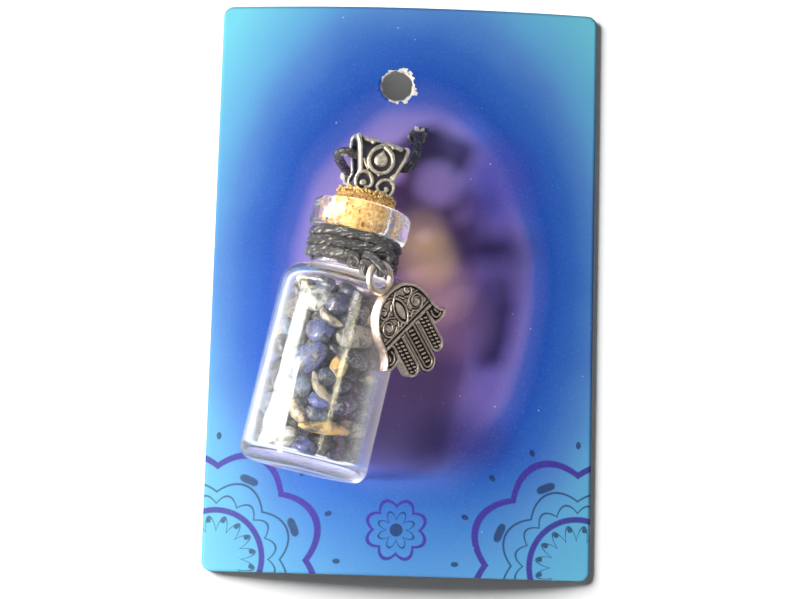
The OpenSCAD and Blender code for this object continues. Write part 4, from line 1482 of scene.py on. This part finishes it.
def add_lamp(name, kind, power, colour=(1, 1, 1), rays=every, **values):
    """A lamp; rays names the kinds of ray that see it, beside the camera's."""
    data = bpy.data.lights.new(name, kind)
    data.energy = power
    data.color = colour
    for key, value in values.items():
        setattr(data, key, value)
    lamp = bpy.data.objects.new(name, data)
    lamp.visible_diffuse = "diffuse" in rays
    lamp.visible_glossy = "glossy" in rays
    lamp.visible_transmission = "transmission" in rays
    bpy.context.scene.collection.objects.link(lamp)
    return lamp


def add_area(name, place, target, size, power, colour, rays=every):
    """An area light at a place, turned to a target, that the camera doesn't see."""
    wide, high = np.array(size) * MM
    lamp = add_lamp(name, "AREA", power, colour, rays, shape="RECTANGLE", size=wide, size_y=high)
    place = np.array(place, float)
    ahead = np.array(target, float) - place
    ahead /= np.linalg.norm(ahead)
    side = np.cross([0, 1, 0], -ahead)
    side /= np.linalg.norm(side)
    up = np.cross(-ahead, side)
    rows = [[side[k], up[k], -ahead[k], place[k] * MM] for k in range(3)]
    lamp.matrix_world = Matrix(rows + [[0, 0, 0, 1]])
    lamp.visible_camera = False
    return lamp


def pointed(way):
    """The turn that points a lamp along a direction."""
    return Vector(way).to_track_quat("-Z", "Y").to_euler()


def add_glow(name, spot, spread, power, colour):
    """A soft round spot of light on the card, as glass throws on what lies beside it."""
    place = np.array([spot[0] + glow_right, spot[1], glow_up])
    ahead = np.array([*spot, card_arch]) - place
    angle = 2 * np.arctan(spread / np.linalg.norm(ahead))
    lamp = add_lamp(name, "SPOT", power, colour, spot_size=angle, spot_blend=1.0, shadow_soft_size=0.0005)
    lamp.location = place * MM
    lamp.rotation_euler = pointed(ahead)
    return lamp


def light_only(light, lit, shading=()):
    """Links a light to some objects; where shading is given, only those throw its shadows."""
    for key, objects in (("receiver_collection", lit), ("blocker_collection", shading)):
        if objects:
            linked = bpy.data.collections.new(light.name + "_" + key)
            for item in objects:
                linked.objects.link(item)
            setattr(light.light_linking, key, linked)


def named(names):
    """The pieces with these names."""
    return [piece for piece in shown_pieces() if piece.name in names]


def add_light(floor):
    """A warm key from the left, a faint sky, gleams and fills for some pieces, and the glass's glows."""
    scene = bpy.context.scene
    scene.view_settings.view_transform = "Standard"
    scene.world = bpy.data.worlds.new("studio")
    scene.world.use_nodes = True
    back = scene.world.node_tree.nodes["Background"]
    back.inputs["Color"].default_value = sky_colour
    back.inputs["Strength"].default_value = sky_strength
    key_place = key_aim + key_far * unit(key_towards)
    light_only(add_area("key", key_place, key_aim, key_size, key_watts, key_colour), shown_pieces())
    for name, place, aim, size, brightness, colour, lit in gleams:
        power = brightness * np.pi * size[0] * size[1] * MM ** 2
        light_only(add_area(name, place, aim, size, power, colour, ("glossy",)), named(lit))
    for name, place, aim, size, power, colour, rays, lit, shading in fills:
        light_only(add_area(name, place, aim, size, power, colour, rays), named(lit), named(shading))
    card = named(("display_card",))
    wash = add_lamp("floor_wash", "SUN", wash_strength, rays=("diffuse",), angle=np.radians(wash_spread))
    wash.rotation_euler = pointed(wash_way)
    light_only(wash, [floor], card)
    for k, (spot, spread, power, colour) in enumerate(glows):
        light_only(add_glow(f"caustic_{k}", spot, spread, power, colour), card)


add_camera()
add_cords()
add_card()
add_bottle()
add_cork()
add_glue()
add_stones()
add_bail()
add_charm()
add_light(add_stage())
